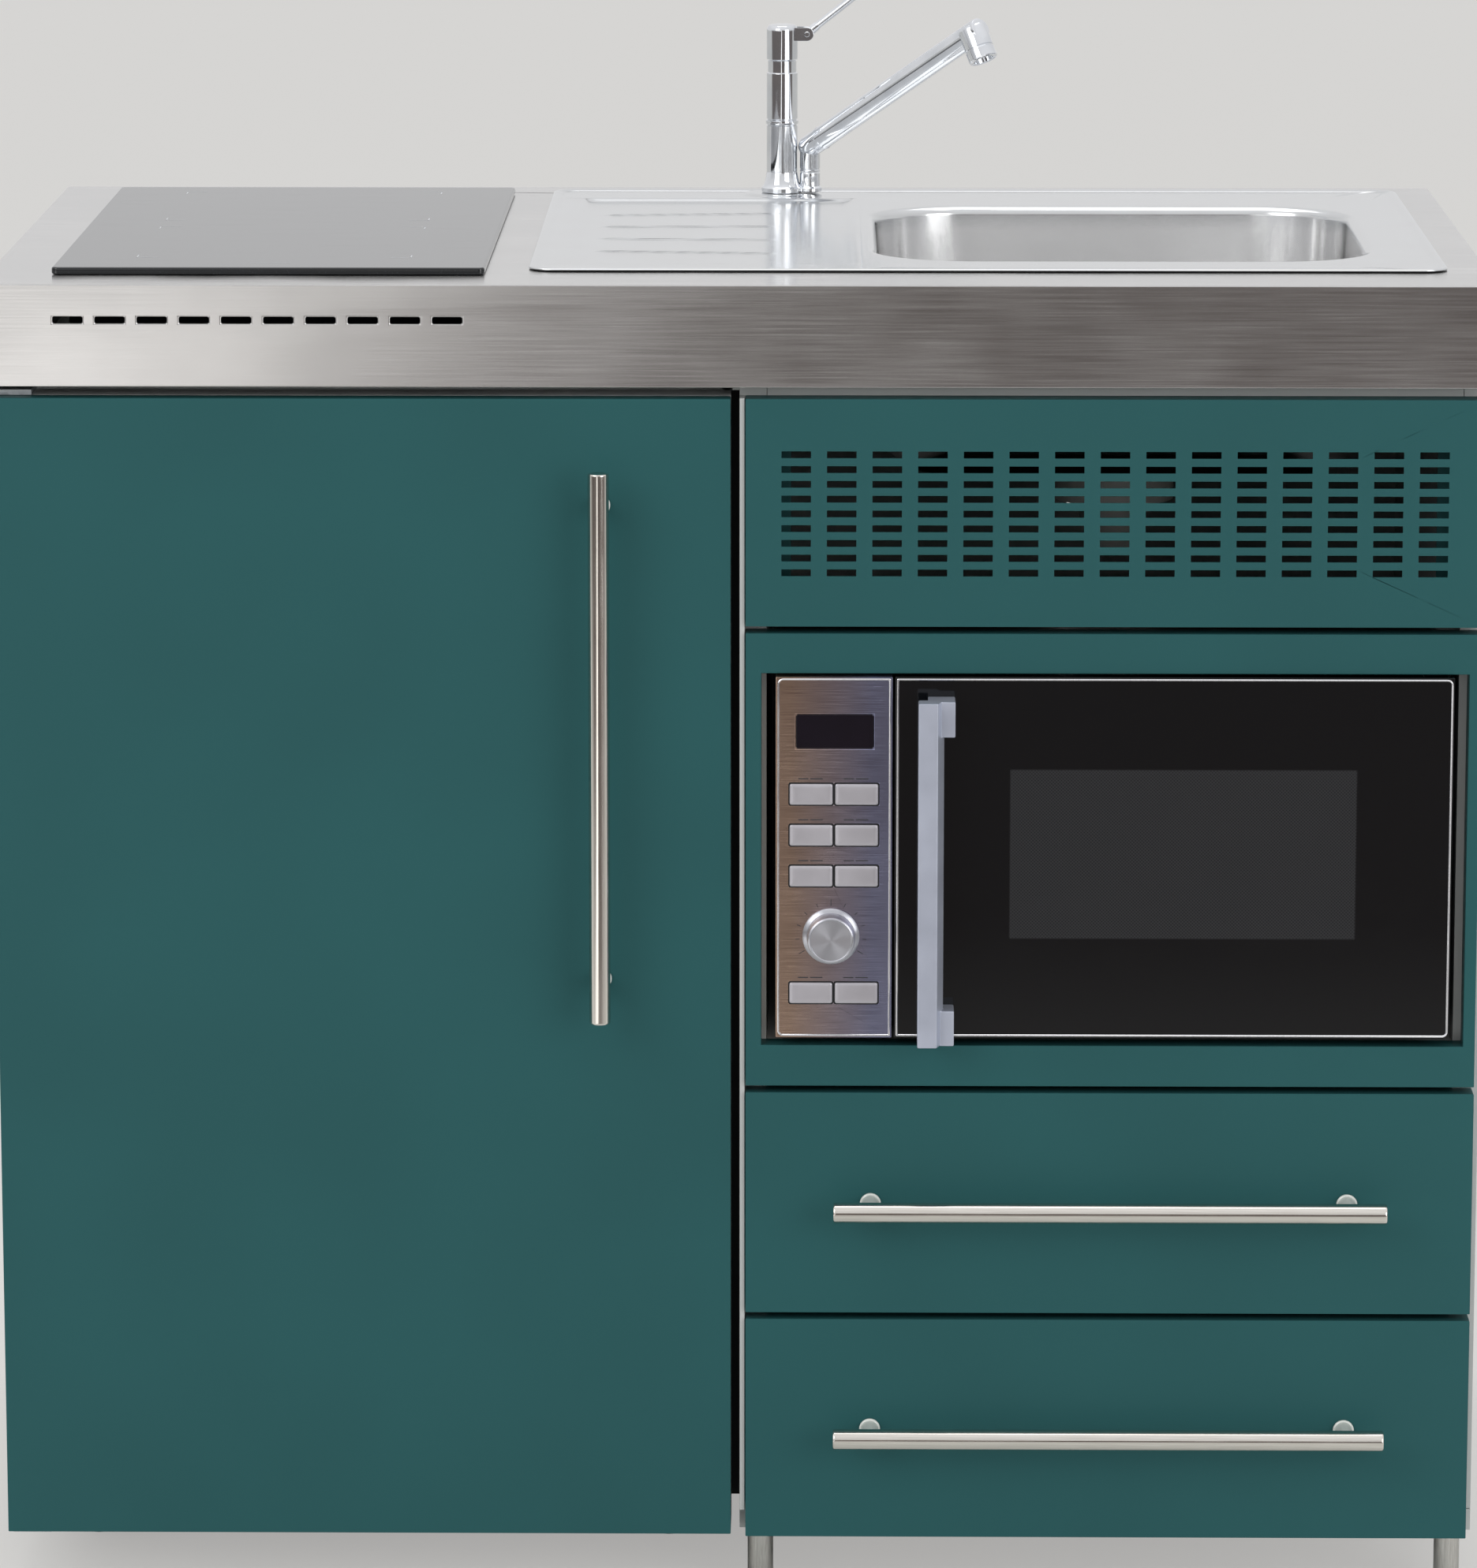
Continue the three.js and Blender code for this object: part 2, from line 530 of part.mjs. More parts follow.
// folded sheet: top, front fascia with a returned lip, side and rear skirts
function worktop() {
  const [left, right] = around(0, WORKTOP_WIDTH);
  const bottom = WORKTOP_TOP - FASCIA_HEIGHT;
  const insideX = [left + WORKTOP_SHEET, right - WORKTOP_SHEET];
  const insideBack = WORKTOP_DEPTH - WORKTOP_SHEET;
  const hollow = block(insideX, [WORKTOP_SHEET, insideBack],
    [bottom + WORKTOP_SHEET, WORKTOP_TOP - WORKTOP_SHEET]);
  const mouth = block(insideX, [FASCIA_LIP, insideBack], [bottom - REACH, bottom + 2 * WORKTOP_SHEET]);
  const cutHeights = [WORKTOP_TOP - REACH, WORKTOP_TOP + REACH];
  const hobHole = block(
    around(HOB_X, HOB_WIDTH - 2 * HOB_MARGIN), around(HOB_Y, HOB_DEPTH - 2 * HOB_MARGIN), cutHeights,
  );
  const sinkHole = roundedPlate(
    SINK_WIDTH - 2 * SINK_MARGIN, SINK_DEPTH - 2 * SINK_MARGIN, SINK_CORNER, [SINK_X, SINK_Y], cutHeights,
  );
  return cut(block([left, right], [0, WORKTOP_DEPTH], [bottom, WORKTOP_TOP]),
    hollow, mouth, hobHole, sinkHole, ...fasciaSlots());
}

// one row of slots centred under the hob, which breathes through them
function fasciaSlots() {
  const first = HOB_X - ((FASCIA_SLOT_COUNT - 1) * FASCIA_SLOT_PITCH) / 2 - FASCIA_SLOT_SHIFT;
  return Array.from({ length: FASCIA_SLOT_COUNT }, (_, i) => block(
    around(first + i * FASCIA_SLOT_PITCH, FASCIA_SLOT_LENGTH), [-REACH, WORKTOP_SHEET + REACH / 2],
    around(WORKTOP_TOP - FASCIA_SLOT_DROP, FASCIA_SLOT_HEIGHT),
  ));
}

// ---------------------------------------------------------------- carcass

// two skins and a closed front edge, open at the back
function doubleWall(x, bottom, top) {
  const range = [x, x + WALL_THICKNESS];
  const between = [x + BODY_SHEET, x + WALL_THICKNESS - BODY_SHEET];
  return cut(block(range, [CARCASS_FRONT, WALL_BACK], [bottom, top]),
    block(between, [CARCASS_FRONT + BODY_SHEET, WALL_BACK + REACH], [bottom - REACH, top + REACH]));
}

function leftSidePanel() {
  const left = -CARCASS_RIGHT;
  const heights = [CARCASS_BOTTOM, UNDER_WORKTOP];
  const depths = [LEFT_PANEL_FRONT, CARCASS_BACK];
  return cut(block([left, left + LEFT_PANEL_FLANGE], depths, heights),
    block([left + BODY_SHEET, left + LEFT_PANEL_FLANGE + REACH],
      [LEFT_PANEL_FRONT - REACH, CARCASS_BACK - BODY_SHEET], [heights[0] - REACH, heights[1] + REACH]));
}

function backPanel() {
  const plate = block([FRIDGE_RIGHT - BACK_LAP, CARCASS_RIGHT], [CARCASS_BACK - BODY_SHEET, CARCASS_BACK],
    [INNER_BOTTOM, CARCASS_TOP]);
  const hole = through(SERVICE_HOLE_RADIUS, BOWL_X, BOWL_UNDERSIDE - PIPE_DROP, CARCASS_BACK - REACH,
    CARCASS_BACK + REACH, COARSE);
  return cut(plate, hole);
}

// a tray of sheet, open underneath
function tray([x0, x1], [y0, y1], top, thickness) {
  return cut(block([x0, x1], [y0, y1], [top - thickness, top]),
    block([x0 + BODY_SHEET, x1 - BODY_SHEET], [y0 + BODY_SHEET, y1 - BODY_SHEET],
      [top - thickness - REACH, top - BODY_SHEET]));
}

function basePanel() {
  return tray([DIVIDER_X, CARCASS_RIGHT], [CARCASS_FRONT, WALL_BACK], CARCASS_BOTTOM + BASE_THICKNESS,
    BASE_THICKNESS);
}

function microwaveShelf() {
  return tray([INNER_LEFT + FIT, INNER_RIGHT - FIT], [CARCASS_FRONT, WALL_BACK], SHELF_TOP, SHELF_THICKNESS);
}

function topRail() {
  const heights = [CARCASS_TOP - RAIL_HEIGHT, CARCASS_TOP];
  return cut(block([INNER_LEFT + FIT, INNER_RIGHT - FIT], [CARCASS_FRONT, CARCASS_FRONT + RAIL_DEPTH], heights),
    block([INNER_LEFT, INNER_RIGHT], [CARCASS_FRONT + BODY_SHEET, CARCASS_FRONT + RAIL_DEPTH + REACH],
      [heights[0] + BODY_SHEET, heights[1] - BODY_SHEET]));
}

function leg() {
  return turned([
    [0, 0], [LEG_PAD_RADIUS, 0], [LEG_PAD_RADIUS, LEG_PAD_HEIGHT], [LEG_RADIUS, LEG_PAD_HEIGHT],
    [LEG_RADIUS, LEG_TOP], [0, LEG_TOP],
  ], COARSE);
}

function carcass() {
  const group = new THREE.Group();
  group.add(
    mesh('left_side_panel', leftSidePanel(), GREY_ENAMEL),
    mesh('divider_panel', doubleWall(DIVIDER_X, INNER_BOTTOM, CARCASS_TOP), GREY_ENAMEL),
    mesh('right_side_panel', doubleWall(INNER_RIGHT, INNER_BOTTOM, UNDER_WORKTOP), GREY_ENAMEL),
    mesh('back_panel', backPanel(), GREY_ENAMEL),
    mesh('base_panel', basePanel(), GREY_ENAMEL),
    mesh('microwave_shelf', microwaveShelf(), GREY_ENAMEL),
    mesh('top_rail', topRail(), GREY_ENAMEL),
  );
  for (const [side, x] of [['left', DIVIDER_X + LEG_INSET], ['right', CARCASS_RIGHT - LEG_INSET]]) {
    for (const [end, y] of [['front', LEG_SETBACK], ['rear', WALL_BACK - LEG_SETBACK]]) {
      group.add(mesh(`leg_${end}_${side}`, leg(), SATIN_STAINLESS, [x, y, 0]));
    }
  }
  return group;
}

// ---------------------------------------------------------------- teal fronts

// the block behind a folded front's skin: side returns, and a rear flange if it has one
function frontHollow(width, height, depth, flange) {
  const back = depth + (flange ? -FRONT_SHEET : REACH);
  const inner = block(around(0, width - 2 * FRONT_SHEET), [FRONT_SHEET, back], around(0, height - 2 * FRONT_SHEET));
  if (!flange) return inner;
  const mouth = block(around(0, width - 2 * flange), [depth - REACH, depth + REACH],
    around(0, height - 2 * flange));
  return join(inner, mouth);
}

function frontPan(width, height, depth, flange) {
  return cut(block(around(0, width), [0, depth], around(0, height)), frontHollow(width, height, depth, flange));
}

function ventPanel() {
  const slots = [];
  const field = [(VENT_COLUMNS - 1) * VENT_PITCH_X, (VENT_ROWS - 1) * VENT_PITCH_Z];
  for (let column = 0; column < VENT_COLUMNS; column += 1) {
    for (let row = 0; row < VENT_ROWS; row += 1) {
      slots.push(block(
        around(column * VENT_PITCH_X - field[0] / 2, VENT_SLOT_LENGTH), [-REACH, FRONT_SHEET + REACH / 2],
        around(row * VENT_PITCH_Z - field[1] / 2 - VENT_FIELD_SHIFT, VENT_SLOT_HEIGHT),
      ));
    }
  }
  return cut(frontPan(FRONTS_WIDTH, VENT_PANEL_HEIGHT, FRONT_DEPTH, FRONT_FLANGE), ...slots);
}

// the front around the oven, with a collar folded back along the niche
function microwaveSurround() {
  const nicheX = around((SURROUND_LEFT_BORDER - SURROUND_RIGHT_BORDER) / 2, NICHE_WIDTH);
  const nicheZ = around((SURROUND_BOTTOM_BORDER - SURROUND_TOP_BORDER) / 2, NICHE_HEIGHT);
  const grow = ([low, high], by) => [low - by, high + by];
  const collar = block(grow(nicheX, FRONT_SHEET), [-REACH, FRONT_DEPTH + REACH], grow(nicheZ, FRONT_SHEET));
  const hollow = cut(block(around(0, FRONTS_WIDTH - 2 * FRONT_SHEET), [FRONT_SHEET, FRONT_DEPTH + REACH],
    around(0, SURROUND_HEIGHT - 2 * FRONT_SHEET)), collar);
  const blank = block(around(0, FRONTS_WIDTH), [0, FRONT_DEPTH], around(0, SURROUND_HEIGHT));
  return cut(blank, hollow, block(nicheX, [-REACH, FRONT_DEPTH + REACH], nicheZ));
}

// a round bar on two posts, seated on a front at depth 0
function barHandle() {
  const axis = HANDLE_BAR_RADIUS - HANDLE_PROJECTION;
  const bar = new THREE.CylinderGeometry(HANDLE_BAR_RADIUS, HANDLE_BAR_RADIUS, HANDLE_LENGTH, COARSE);
  const posts = [-1, 1].map((side) => through(HANDLE_POST_RADIUS, (side * HANDLE_POST_SPACING) / 2, 0,
    axis, -FIT, COARSE));
  return join(bar.rotateZ(Math.PI / 2).translate(0, axis, 0), ...posts);
}

function fronts() {
  const group = new THREE.Group();
  group.add(
    mesh('vent_panel', ventPanel(), TEAL_ENAMEL, [FRONTS_X, 0, VENT_PANEL_Z]),
    mesh('microwave_surround', microwaveSurround(), TEAL_ENAMEL,
      [FRONTS_X, 0, SURROUND_BOTTOM + SURROUND_HEIGHT / 2]),
  );
  return group;
}

// ---------------------------------------------------------------- drawers

function drawerBox() {
  const width = INNER_RIGHT - INNER_LEFT - 2 * (RUNNER_THICKNESS + 2 * FIT);
  const depths = [CARCASS_FRONT, CARCASS_FRONT + DRAWER_BOX_DEPTH];
  const bottom = DRAWER_LIFT - DRAWER_FRONT_HEIGHT / 2;
  const heights = [bottom, bottom + DRAWER_BOX_HEIGHT];
  return cut(block(around(0, width), depths, heights),
    block(around(0, width - 2 * DRAWER_WALL), [depths[0] + DRAWER_WALL, depths[1] - DRAWER_WALL],
      [bottom + DRAWER_FLOOR, heights[1] + REACH]));
}

function drawer(name, z) {
  const group = new THREE.Group();
  group.position.z = z;
  const boxX = (INNER_LEFT + INNER_RIGHT) / 2;
  group.add(
    mesh(`${name}_drawer_front`, frontPan(FRONTS_WIDTH, DRAWER_FRONT_HEIGHT, FRONT_DEPTH, FRONT_FLANGE),
      TEAL_ENAMEL, [FRONTS_X, 0, 0]),
    mesh(`${name}_drawer_handle`, barHandle(), SATIN_STAINLESS, [FRONTS_X, 0, 0]),
    mesh(`${name}_drawer_box`, drawerBox(), GREY_ENAMEL, [boxX, 0, 0]),
  );
  const runnerZ = DRAWER_LIFT - DRAWER_FRONT_HEIGHT / 2 + RUNNER_HEIGHT / 2;
  const runner = () => block(around(0, RUNNER_THICKNESS), [0, RUNNER_LENGTH], around(0, RUNNER_HEIGHT));
  const offset = RUNNER_THICKNESS / 2 + FIT;
  group.add(
    mesh(`${name}_runner_left`, runner(), ZINC, [INNER_LEFT + offset, CARCASS_FRONT, runnerZ]),
    mesh(`${name}_runner_right`, runner(), ZINC, [INNER_RIGHT - offset, CARCASS_FRONT, runnerZ]),
  );
  return group;
}

// ---------------------------------------------------------------- hob

function hob() {
  const group = new THREE.Group();
  group.position.set(HOB_X, HOB_Y, WORKTOP_TOP);
  const casingSize = [HOB_WIDTH - 2 * HOB_MARGIN - 4 * FIT, HOB_DEPTH - 2 * HOB_MARGIN - 4 * FIT];
  const [x, y] = casingSize.map((size) => around(0, size));
  const [innerX, innerY] = casingSize.map((size) => around(0, size - 2 * HOB_CASING_SHEET));
  const casing = cut(block(x, y, [-HOB_CASING_HEIGHT, 0]),
    block(innerX, innerY, [HOB_CASING_SHEET - HOB_CASING_HEIGHT, REACH]));
  const glass = roundedPlate(HOB_WIDTH, HOB_DEPTH, HOB_CORNER, [0, 0], [FIT, FIT + HOB_GLASS]);
  group.add(mesh('hob_glass', glass, HOB_CERAMIC), mesh('hob_casing', casing, BLACK_STEEL));
  return group;
}

// ---------------------------------------------------------------- sink

function drainerRibs() {
  const middle = (DRAINER_RIB_COUNT - 1) / 2;
  const floor = SINK_TOP - DRAINER_DEPTH;
  return Array.from({ length: DRAINER_RIB_COUNT }, (_, i) => {
    const rib = block(around(0, DRAINER_RIB_LENGTH), around(0, DRAINER_RIB_WIDTH),
      [-SINK_SHEET / 2, DRAINER_RIB_HEIGHT]);
    return rib.rotateZ((i - middle) * DRAINER_RIB_FAN)
      .translate(DRAINER_X + DRAINER_RIB_SHIFT, DRAINER_Y + (i - middle) * DRAINER_RIB_PITCH, floor);
  });
}

// pressed from one sheet: rim, drainer with ribs, bowl with its waste hole, tap hole
function sinkBasin() {
  const rim = roundedPlate(SINK_WIDTH, SINK_DEPTH, SINK_CORNER, [SINK_X, SINK_Y],
    [SINK_TOP - SINK_SHEET, SINK_TOP]);
  const pressed = (grow, top) => [
    basin(BOWL_WIDTH + 2 * grow, BOWL_LENGTH + 2 * grow, BOWL_CORNER + grow, BOWL_FOOT_RADIUS + grow,
      [BOWL_X, BOWL_Y], [BOWL_FLOOR - grow, top]),
    roundedPlate(DRAINER_WIDTH + 2 * grow, DRAINER_LENGTH + 2 * grow, DRAINER_CORNER + grow,
      [DRAINER_X, DRAINER_Y], [SINK_TOP - DRAINER_DEPTH - grow, top]),
  ];
  const shell = cut(join(rim, ...pressed(SINK_SHEET, SINK_TOP)), ...pressed(0, SINK_TOP + REACH));
  return cut(join(shell, ...drainerRibs()),
    upright(WASTE_RADIUS, BOWL_X, BOWL_Y, BOWL_UNDERSIDE - REACH, BOWL_FLOOR + REACH),
    upright(TAP_SHANK_RADIUS + FIT, TAP_X, TAP_DEPTH, SINK_TOP - REACH, SINK_TOP + REACH, COARSE));
}

function sinkSeal() {
  const heights = [WORKTOP_TOP + FIT, WORKTOP_TOP + FIT + SINK_SEAL_HEIGHT];
  const ring = (inset, z) => roundedPlate(SINK_WIDTH - 2 * inset, SINK_DEPTH - 2 * inset,
    SINK_CORNER - inset / 2, [SINK_X, SINK_Y], z);
  return cut(ring(SINK_SEAL_INSET, heights), ring(SINK_MARGIN, [heights[0] - REACH, heights[1] + REACH]));
}

// the route of the waste pipe: down from the cup, round a bend and back to the wall
function wastePath(start, end) {
  const route = new THREE.CurvePath();
  const [bendTop, level] = [PIPE_BEND_RADIUS - PIPE_DROP, -PIPE_DROP];
  const corner = new THREE.Vector3(0, 0, level);
  const out = new THREE.Vector3(0, PIPE_BEND_RADIUS, level);
  const down = new THREE.Vector3(0, 0, bendTop);
  route.add(new THREE.LineCurve3(new THREE.Vector3(0, 0, start), down));
  route.add(new THREE.QuadraticBezierCurve3(down, corner, out));
  route.add(new THREE.LineCurve3(out, new THREE.Vector3(0, end, level)));
  return route;
}

function wastePipe(start, end) {
  const section = new THREE.Shape().absarc(0, 0, PIPE_RADIUS, 0, 2 * Math.PI);
  return new THREE.ExtrudeGeometry(section, {
    extrudePath: wastePath(start, end), steps: 3 * ARC, curveSegments: COARSE / 2, bevelEnabled: false,
  });
}

// cup under the bowl with a ledge for the strainer, and the pipe to the wall
function wasteTrap() {
  const inner = WASTE_RADIUS - WASTE_WALL;
  const end = WORKTOP_DEPTH - BOWL_Y - 2 * FIT;
  const cup = turned([
    [0, -WASTE_CUP_DEPTH], [WASTE_RADIUS, -WASTE_CUP_DEPTH], [WASTE_RADIUS, -WASTE_WALL],
    [WASTE_FLANGE_RADIUS, -WASTE_WALL], [WASTE_FLANGE_RADIUS, 0], [0, 0],
  ]);
  const hollow = turned([
    [0, WASTE_WALL - WASTE_CUP_DEPTH], [inner - WASTE_WALL, WASTE_WALL - WASTE_CUP_DEPTH],
    [inner - WASTE_WALL, -WASTE_LEDGE], [inner, -WASTE_LEDGE], [inner, REACH], [0, REACH],
  ]);
  const outer = join(cup, wastePipe(-WASTE_CUP_DEPTH / 2, end));
  return cut(outer, hollow);
}

// drops into the waste hole and hangs on its ledge
function sinkStrainer() {
  const rim = WASTE_RADIUS - WASTE_WALL - FIT;
  const inner = STRAINER_BASKET_RADIUS - STRAINER_RIM;
  const floor = STRAINER_RIM - STRAINER_BASKET_DEPTH;
  const stem = STRAINER_KNOB_RADIUS / 2;
  const knobTop = STRAINER_KNOB_HEIGHT - STRAINER_BASKET_DEPTH;
  return turned([
    [0, -STRAINER_BASKET_DEPTH], [STRAINER_BASKET_RADIUS, -STRAINER_BASKET_DEPTH], [STRAINER_BASKET_RADIUS, 0],
    [rim, 0], [rim, STRAINER_RIM], [inner, STRAINER_RIM], [inner, floor],
    [stem, floor], [stem, STRAINER_RIM], [STRAINER_KNOB_RADIUS, 2 * STRAINER_RIM],
    [STRAINER_KNOB_RADIUS, knobTop], [0, knobTop],
  ], COARSE);
}

function sink() {
  const group = new THREE.Group();
  const underBowl = BOWL_UNDERSIDE - FIT;
  group.add(
    mesh('sink', sinkBasin(), SINK_STAINLESS),
    mesh('sink_seal', sinkSeal(), BLACK_RUBBER),
    mesh('waste_trap', wasteTrap(), WHITE_PLASTIC, [BOWL_X, BOWL_Y, underBowl]),
    mesh('sink_strainer', sinkStrainer(), SINK_STAINLESS, [BOWL_X, BOWL_Y, underBowl - WASTE_LEDGE + FIT]),
  );
  return group;
}

// ---------------------------------------------------------------- mixer tap

// column with a flared foot, a raised ring and a narrow neck, and the stub that carries the spout
function tapColumn() {
  const ring = [TAP_RING_HEIGHT - TAP_RING_WIDTH / 2, TAP_RING_HEIGHT + TAP_RING_WIDTH / 2];
  const ringRadius = TAP_RADIUS + TAP_RING_RISE;
  const neckTop = TAP_NECK_HEIGHT + TAP_NECK_WIDTH;
  const column = turned([
    [0, -TAP_SHANK_LENGTH], [TAP_SHANK_RADIUS, -TAP_SHANK_LENGTH], [TAP_SHANK_RADIUS, 0], [TAP_FOOT_RADIUS, 0],
    [TAP_FOOT_RADIUS, TAP_FOOT_HEIGHT / 3], [TAP_RADIUS, TAP_FOOT_HEIGHT], [TAP_RADIUS, ring[0]],
    [ringRadius, ring[0]], [ringRadius, ring[1]], [TAP_RADIUS, ring[1]], [TAP_RADIUS, TAP_NECK_HEIGHT],
    [TAP_RADIUS - TAP_RING_RISE, TAP_NECK_HEIGHT], [TAP_RADIUS - TAP_RING_RISE, neckTop], [0, neckTop],
  ]);
  return join(column, upright(POST_RADIUS, POST_OFFSET, 0, 0, TAP_FOOT_HEIGHT));
}

// swivelling post, rising tube and a short nozzle square to the tube
function tapSpout() {
  const tilt = THREE.MathUtils.degToRad(SPOUT_RISE_DEG);
  const along = (geometry) => geometry.rotateY(-tilt).translate(0, 0, SPOUT_ROOT_HEIGHT);
  const roundEnd = Array.from({ length: ARC }, (_, i) => [
    SPOUT_RADIUS * Math.sin((i * Math.PI) / (2 * ARC)), -SPOUT_RADIUS * Math.cos((i * Math.PI) / (2 * ARC)),
  ]);
  const tube = turned([...roundEnd, [SPOUT_RADIUS, 0], [SPOUT_RADIUS, SPOUT_LENGTH], [0, SPOUT_LENGTH]]);
  const nozzle = upright(NOZZLE_RADIUS, SPOUT_LENGTH - NOZZLE_SETBACK, 0, -NOZZLE_LENGTH, SPOUT_RADIUS / 2);
  const spout = join(
    upright(POST_RADIUS, 0, 0, TAP_FOOT_HEIGHT + FIT, SPOUT_ROOT_HEIGHT),
    along(tube.rotateY(Math.PI / 2)), along(nozzle),
  );
  return spout.rotateZ(-THREE.MathUtils.degToRad(SPOUT_YAW_DEG));
}

// turning cap with the two ears that hold the lever
function tapCap() {
  const reach = LEVER_PIVOT_OFFSET + LEVER_HUB_RADIUS;
  const ears = block([0, reach], around(0, LEVER_HUB_WIDTH + 2 * (FIT + LEVER_EAR)),
    around(LEVER_PIVOT_HEIGHT, 2 * LEVER_HUB_RADIUS));
  const bottom = TAP_NECK_HEIGHT + TAP_NECK_WIDTH + FIT;
  const body = upright(TAP_RADIUS, 0, 0, bottom, bottom + TAP_CAP_HEIGHT);
  const gap = block([LEVER_PIVOT_OFFSET - LEVER_HUB_RADIUS - FIT, reach + REACH],
    around(0, LEVER_HUB_WIDTH + 2 * FIT), around(LEVER_PIVOT_HEIGHT, 4 * LEVER_HUB_RADIUS));
  return join(body, cut(ears, gap));
}

function tapLever() {
  const hub = through(LEVER_HUB_RADIUS, 0, 0, -LEVER_HUB_WIDTH / 2, LEVER_HUB_WIDTH / 2, COARSE);
  const rod = new THREE.CylinderGeometry(LEVER_ROD_RADIUS, LEVER_ROD_RADIUS, LEVER_LENGTH, COARSE);
  const rise = THREE.MathUtils.degToRad(LEVER_RISE_DEG);
  return join(hub, rod.rotateZ(Math.PI / 2).translate(LEVER_LENGTH / 2, 0, 0).rotateY(-rise));
}

function tap() {
  const group = new THREE.Group();
  group.position.set(TAP_X, TAP_DEPTH, SINK_TOP + FIT);
  group.add(
    mesh('tap_column', tapColumn(), CHROME),
    mesh('tap_spout', tapSpout(), CHROME, [POST_OFFSET, 0, 0]),
    mesh('tap_cap', tapCap(), CHROME),
    mesh('tap_lever', tapLever(), CHROME, [LEVER_PIVOT_OFFSET, 0, LEVER_PIVOT_HEIGHT]),
  );
  return group;
}

// ---------------------------------------------------------------- fridge

// insulated body: larder open at the front, recess for the compressor at the lower back
function fridgeCabinet() {
  const body = block([FRIDGE_LEFT, FRIDGE_RIGHT], [FRIDGE_FRONT, FRIDGE_BACK], [DOOR_BOTTOM, FRONTS_TOP]);
  const inside = [FRIDGE_LEFT + FRIDGE_WALL, FRIDGE_RIGHT - FRIDGE_WALL];
  const recessTop = DOOR_BOTTOM + HUMP_HEIGHT;
  const larder = cut(
    block(inside, [FRIDGE_FRONT - REACH, LARDER_BACK], [LARDER_BOTTOM, LARDER_TOP]),
    block([inside[0] - REACH, inside[1] + REACH], [HUMP_FRONT - FRIDGE_WALL, LARDER_BACK + REACH],
      [LARDER_BOTTOM - REACH, recessTop + FRIDGE_WALL]),
  );
  const recess = block([FRIDGE_LEFT + HUMP_SIDE, FRIDGE_RIGHT - HUMP_SIDE], [HUMP_FRONT, FRIDGE_BACK + REACH],
    [DOOR_BOTTOM - REACH, recessTop]);
  const railZ = [LARDER_BOTTOM + FRIDGE_SHELF_LIFT - SHELF_RAIL, LARDER_BOTTOM + FRIDGE_SHELF_LIFT];
  const rails = [[inside[0] - ROOT, inside[0] + SHELF_RAIL], [inside[1] - SHELF_RAIL, inside[1] + ROOT]]
    .map((x) => block(x, [RACK_BACK + FRIDGE_SHELF_SETBACK, LARDER_BACK + ROOT], railZ));
  return join(cut(body, larder, recess), ...rails);
}

// base plate on four levelling feet: it carries the fridge and its compressor, and ties the left
// side panel to the cabinet
function fridgeBase() {
  const top = DOOR_BOTTOM - FIT;
  const plate = block([BODY_SHEET + FIT - CARCASS_RIGHT, DIVIDER_X - FIT], [FRIDGE_BASE_FRONT, FRIDGE_BACK],
    [top - FRIDGE_BASE_PLATE, top]);
  const feetX = [FRIDGE_LEFT + FRIDGE_FOOT_SIDE_INSET, FRIDGE_RIGHT - FRIDGE_FOOT_SIDE_INSET];
  const feetY = [FRIDGE_BASE_FRONT + FRIDGE_FOOT_FRONT_INSET, FRIDGE_BACK - FRIDGE_FOOT_REAR_INSET];
  const feet = feetX.flatMap((x) => feetY.map((y) => upright(FRIDGE_FOOT_RADIUS, x, y, 0,
    top - FRIDGE_BASE_PLATE / 2, COARSE)));
  return join(plate, ...feet);
}

function fridgeShelf() {
  const x = [FRIDGE_LEFT + FRIDGE_WALL + FIT, FRIDGE_RIGHT - FRIDGE_WALL - FIT];
  const z = LARDER_BOTTOM + FRIDGE_SHELF_LIFT + FIT;
  return block(x, [RACK_BACK + FRIDGE_SHELF_SETBACK, LARDER_BACK - FIT], [z, z + FRIDGE_SHELF_GLASS]);
}

// open box: an outer block less its inside
function openBox([x0, x1], [y0, y1], [z0, z1], wall) {
  return cut(block([x0, x1], [y0, y1], [z0, z1]),
    block([x0 + wall, x1 - wall], [y0 + wall, y1 - wall], [z0 + wall, z1 + REACH]));
}

function crisperDrawer() {
  const bottom = LARDER_BOTTOM + FIT;
  return openBox(
    [FRIDGE_LEFT + FRIDGE_WALL + CRISPER_SIDE_GAP, FRIDGE_RIGHT - FRIDGE_WALL - CRISPER_SIDE_GAP],
    [RACK_BACK + CRISPER_SETBACK, HUMP_FRONT - FRIDGE_WALL - FIT], [bottom, bottom + CRISPER_HEIGHT],
    CRISPER_WALL);
}

function compressor() {
  const rim = COMPRESSOR_RADIUS / 4;
  const shoulder = COMPRESSOR_HEIGHT - COMPRESSOR_RADIUS / 2;
  return turned([
    [0, 0], [COMPRESSOR_RADIUS, 0], [COMPRESSOR_RADIUS, rim / 2], [COMPRESSOR_RADIUS - rim, rim],
    [COMPRESSOR_RADIUS - rim / 2, 2 * rim], [COMPRESSOR_RADIUS - rim / 2, shoulder],
    [COMPRESSOR_RADIUS / 2, COMPRESSOR_HEIGHT - rim / 2], [0, COMPRESSOR_HEIGHT],
  ], COARSE);
}

// plate on the body with a pin into the door; side is +1 under the door, -1 over it
function fridgeHinge(side) {
  const away = -side * HINGE_PLATE;
  const plate = block(around(HINGE_X, HINGE_WIDTH), [HINGE_DEPTH - HINGE_WIDTH / 2, FRIDGE_FRONT + HINGE_TAIL],
    [Math.min(0, away), Math.max(0, away)]);
  const pin = [away / 2, side * HINGE_PIN_LENGTH].sort((a, b) => a - b);
  return join(plate, upright(HINGE_PIN_RADIUS, HINGE_X, HINGE_DEPTH, pin[0], pin[1], COARSE));
}

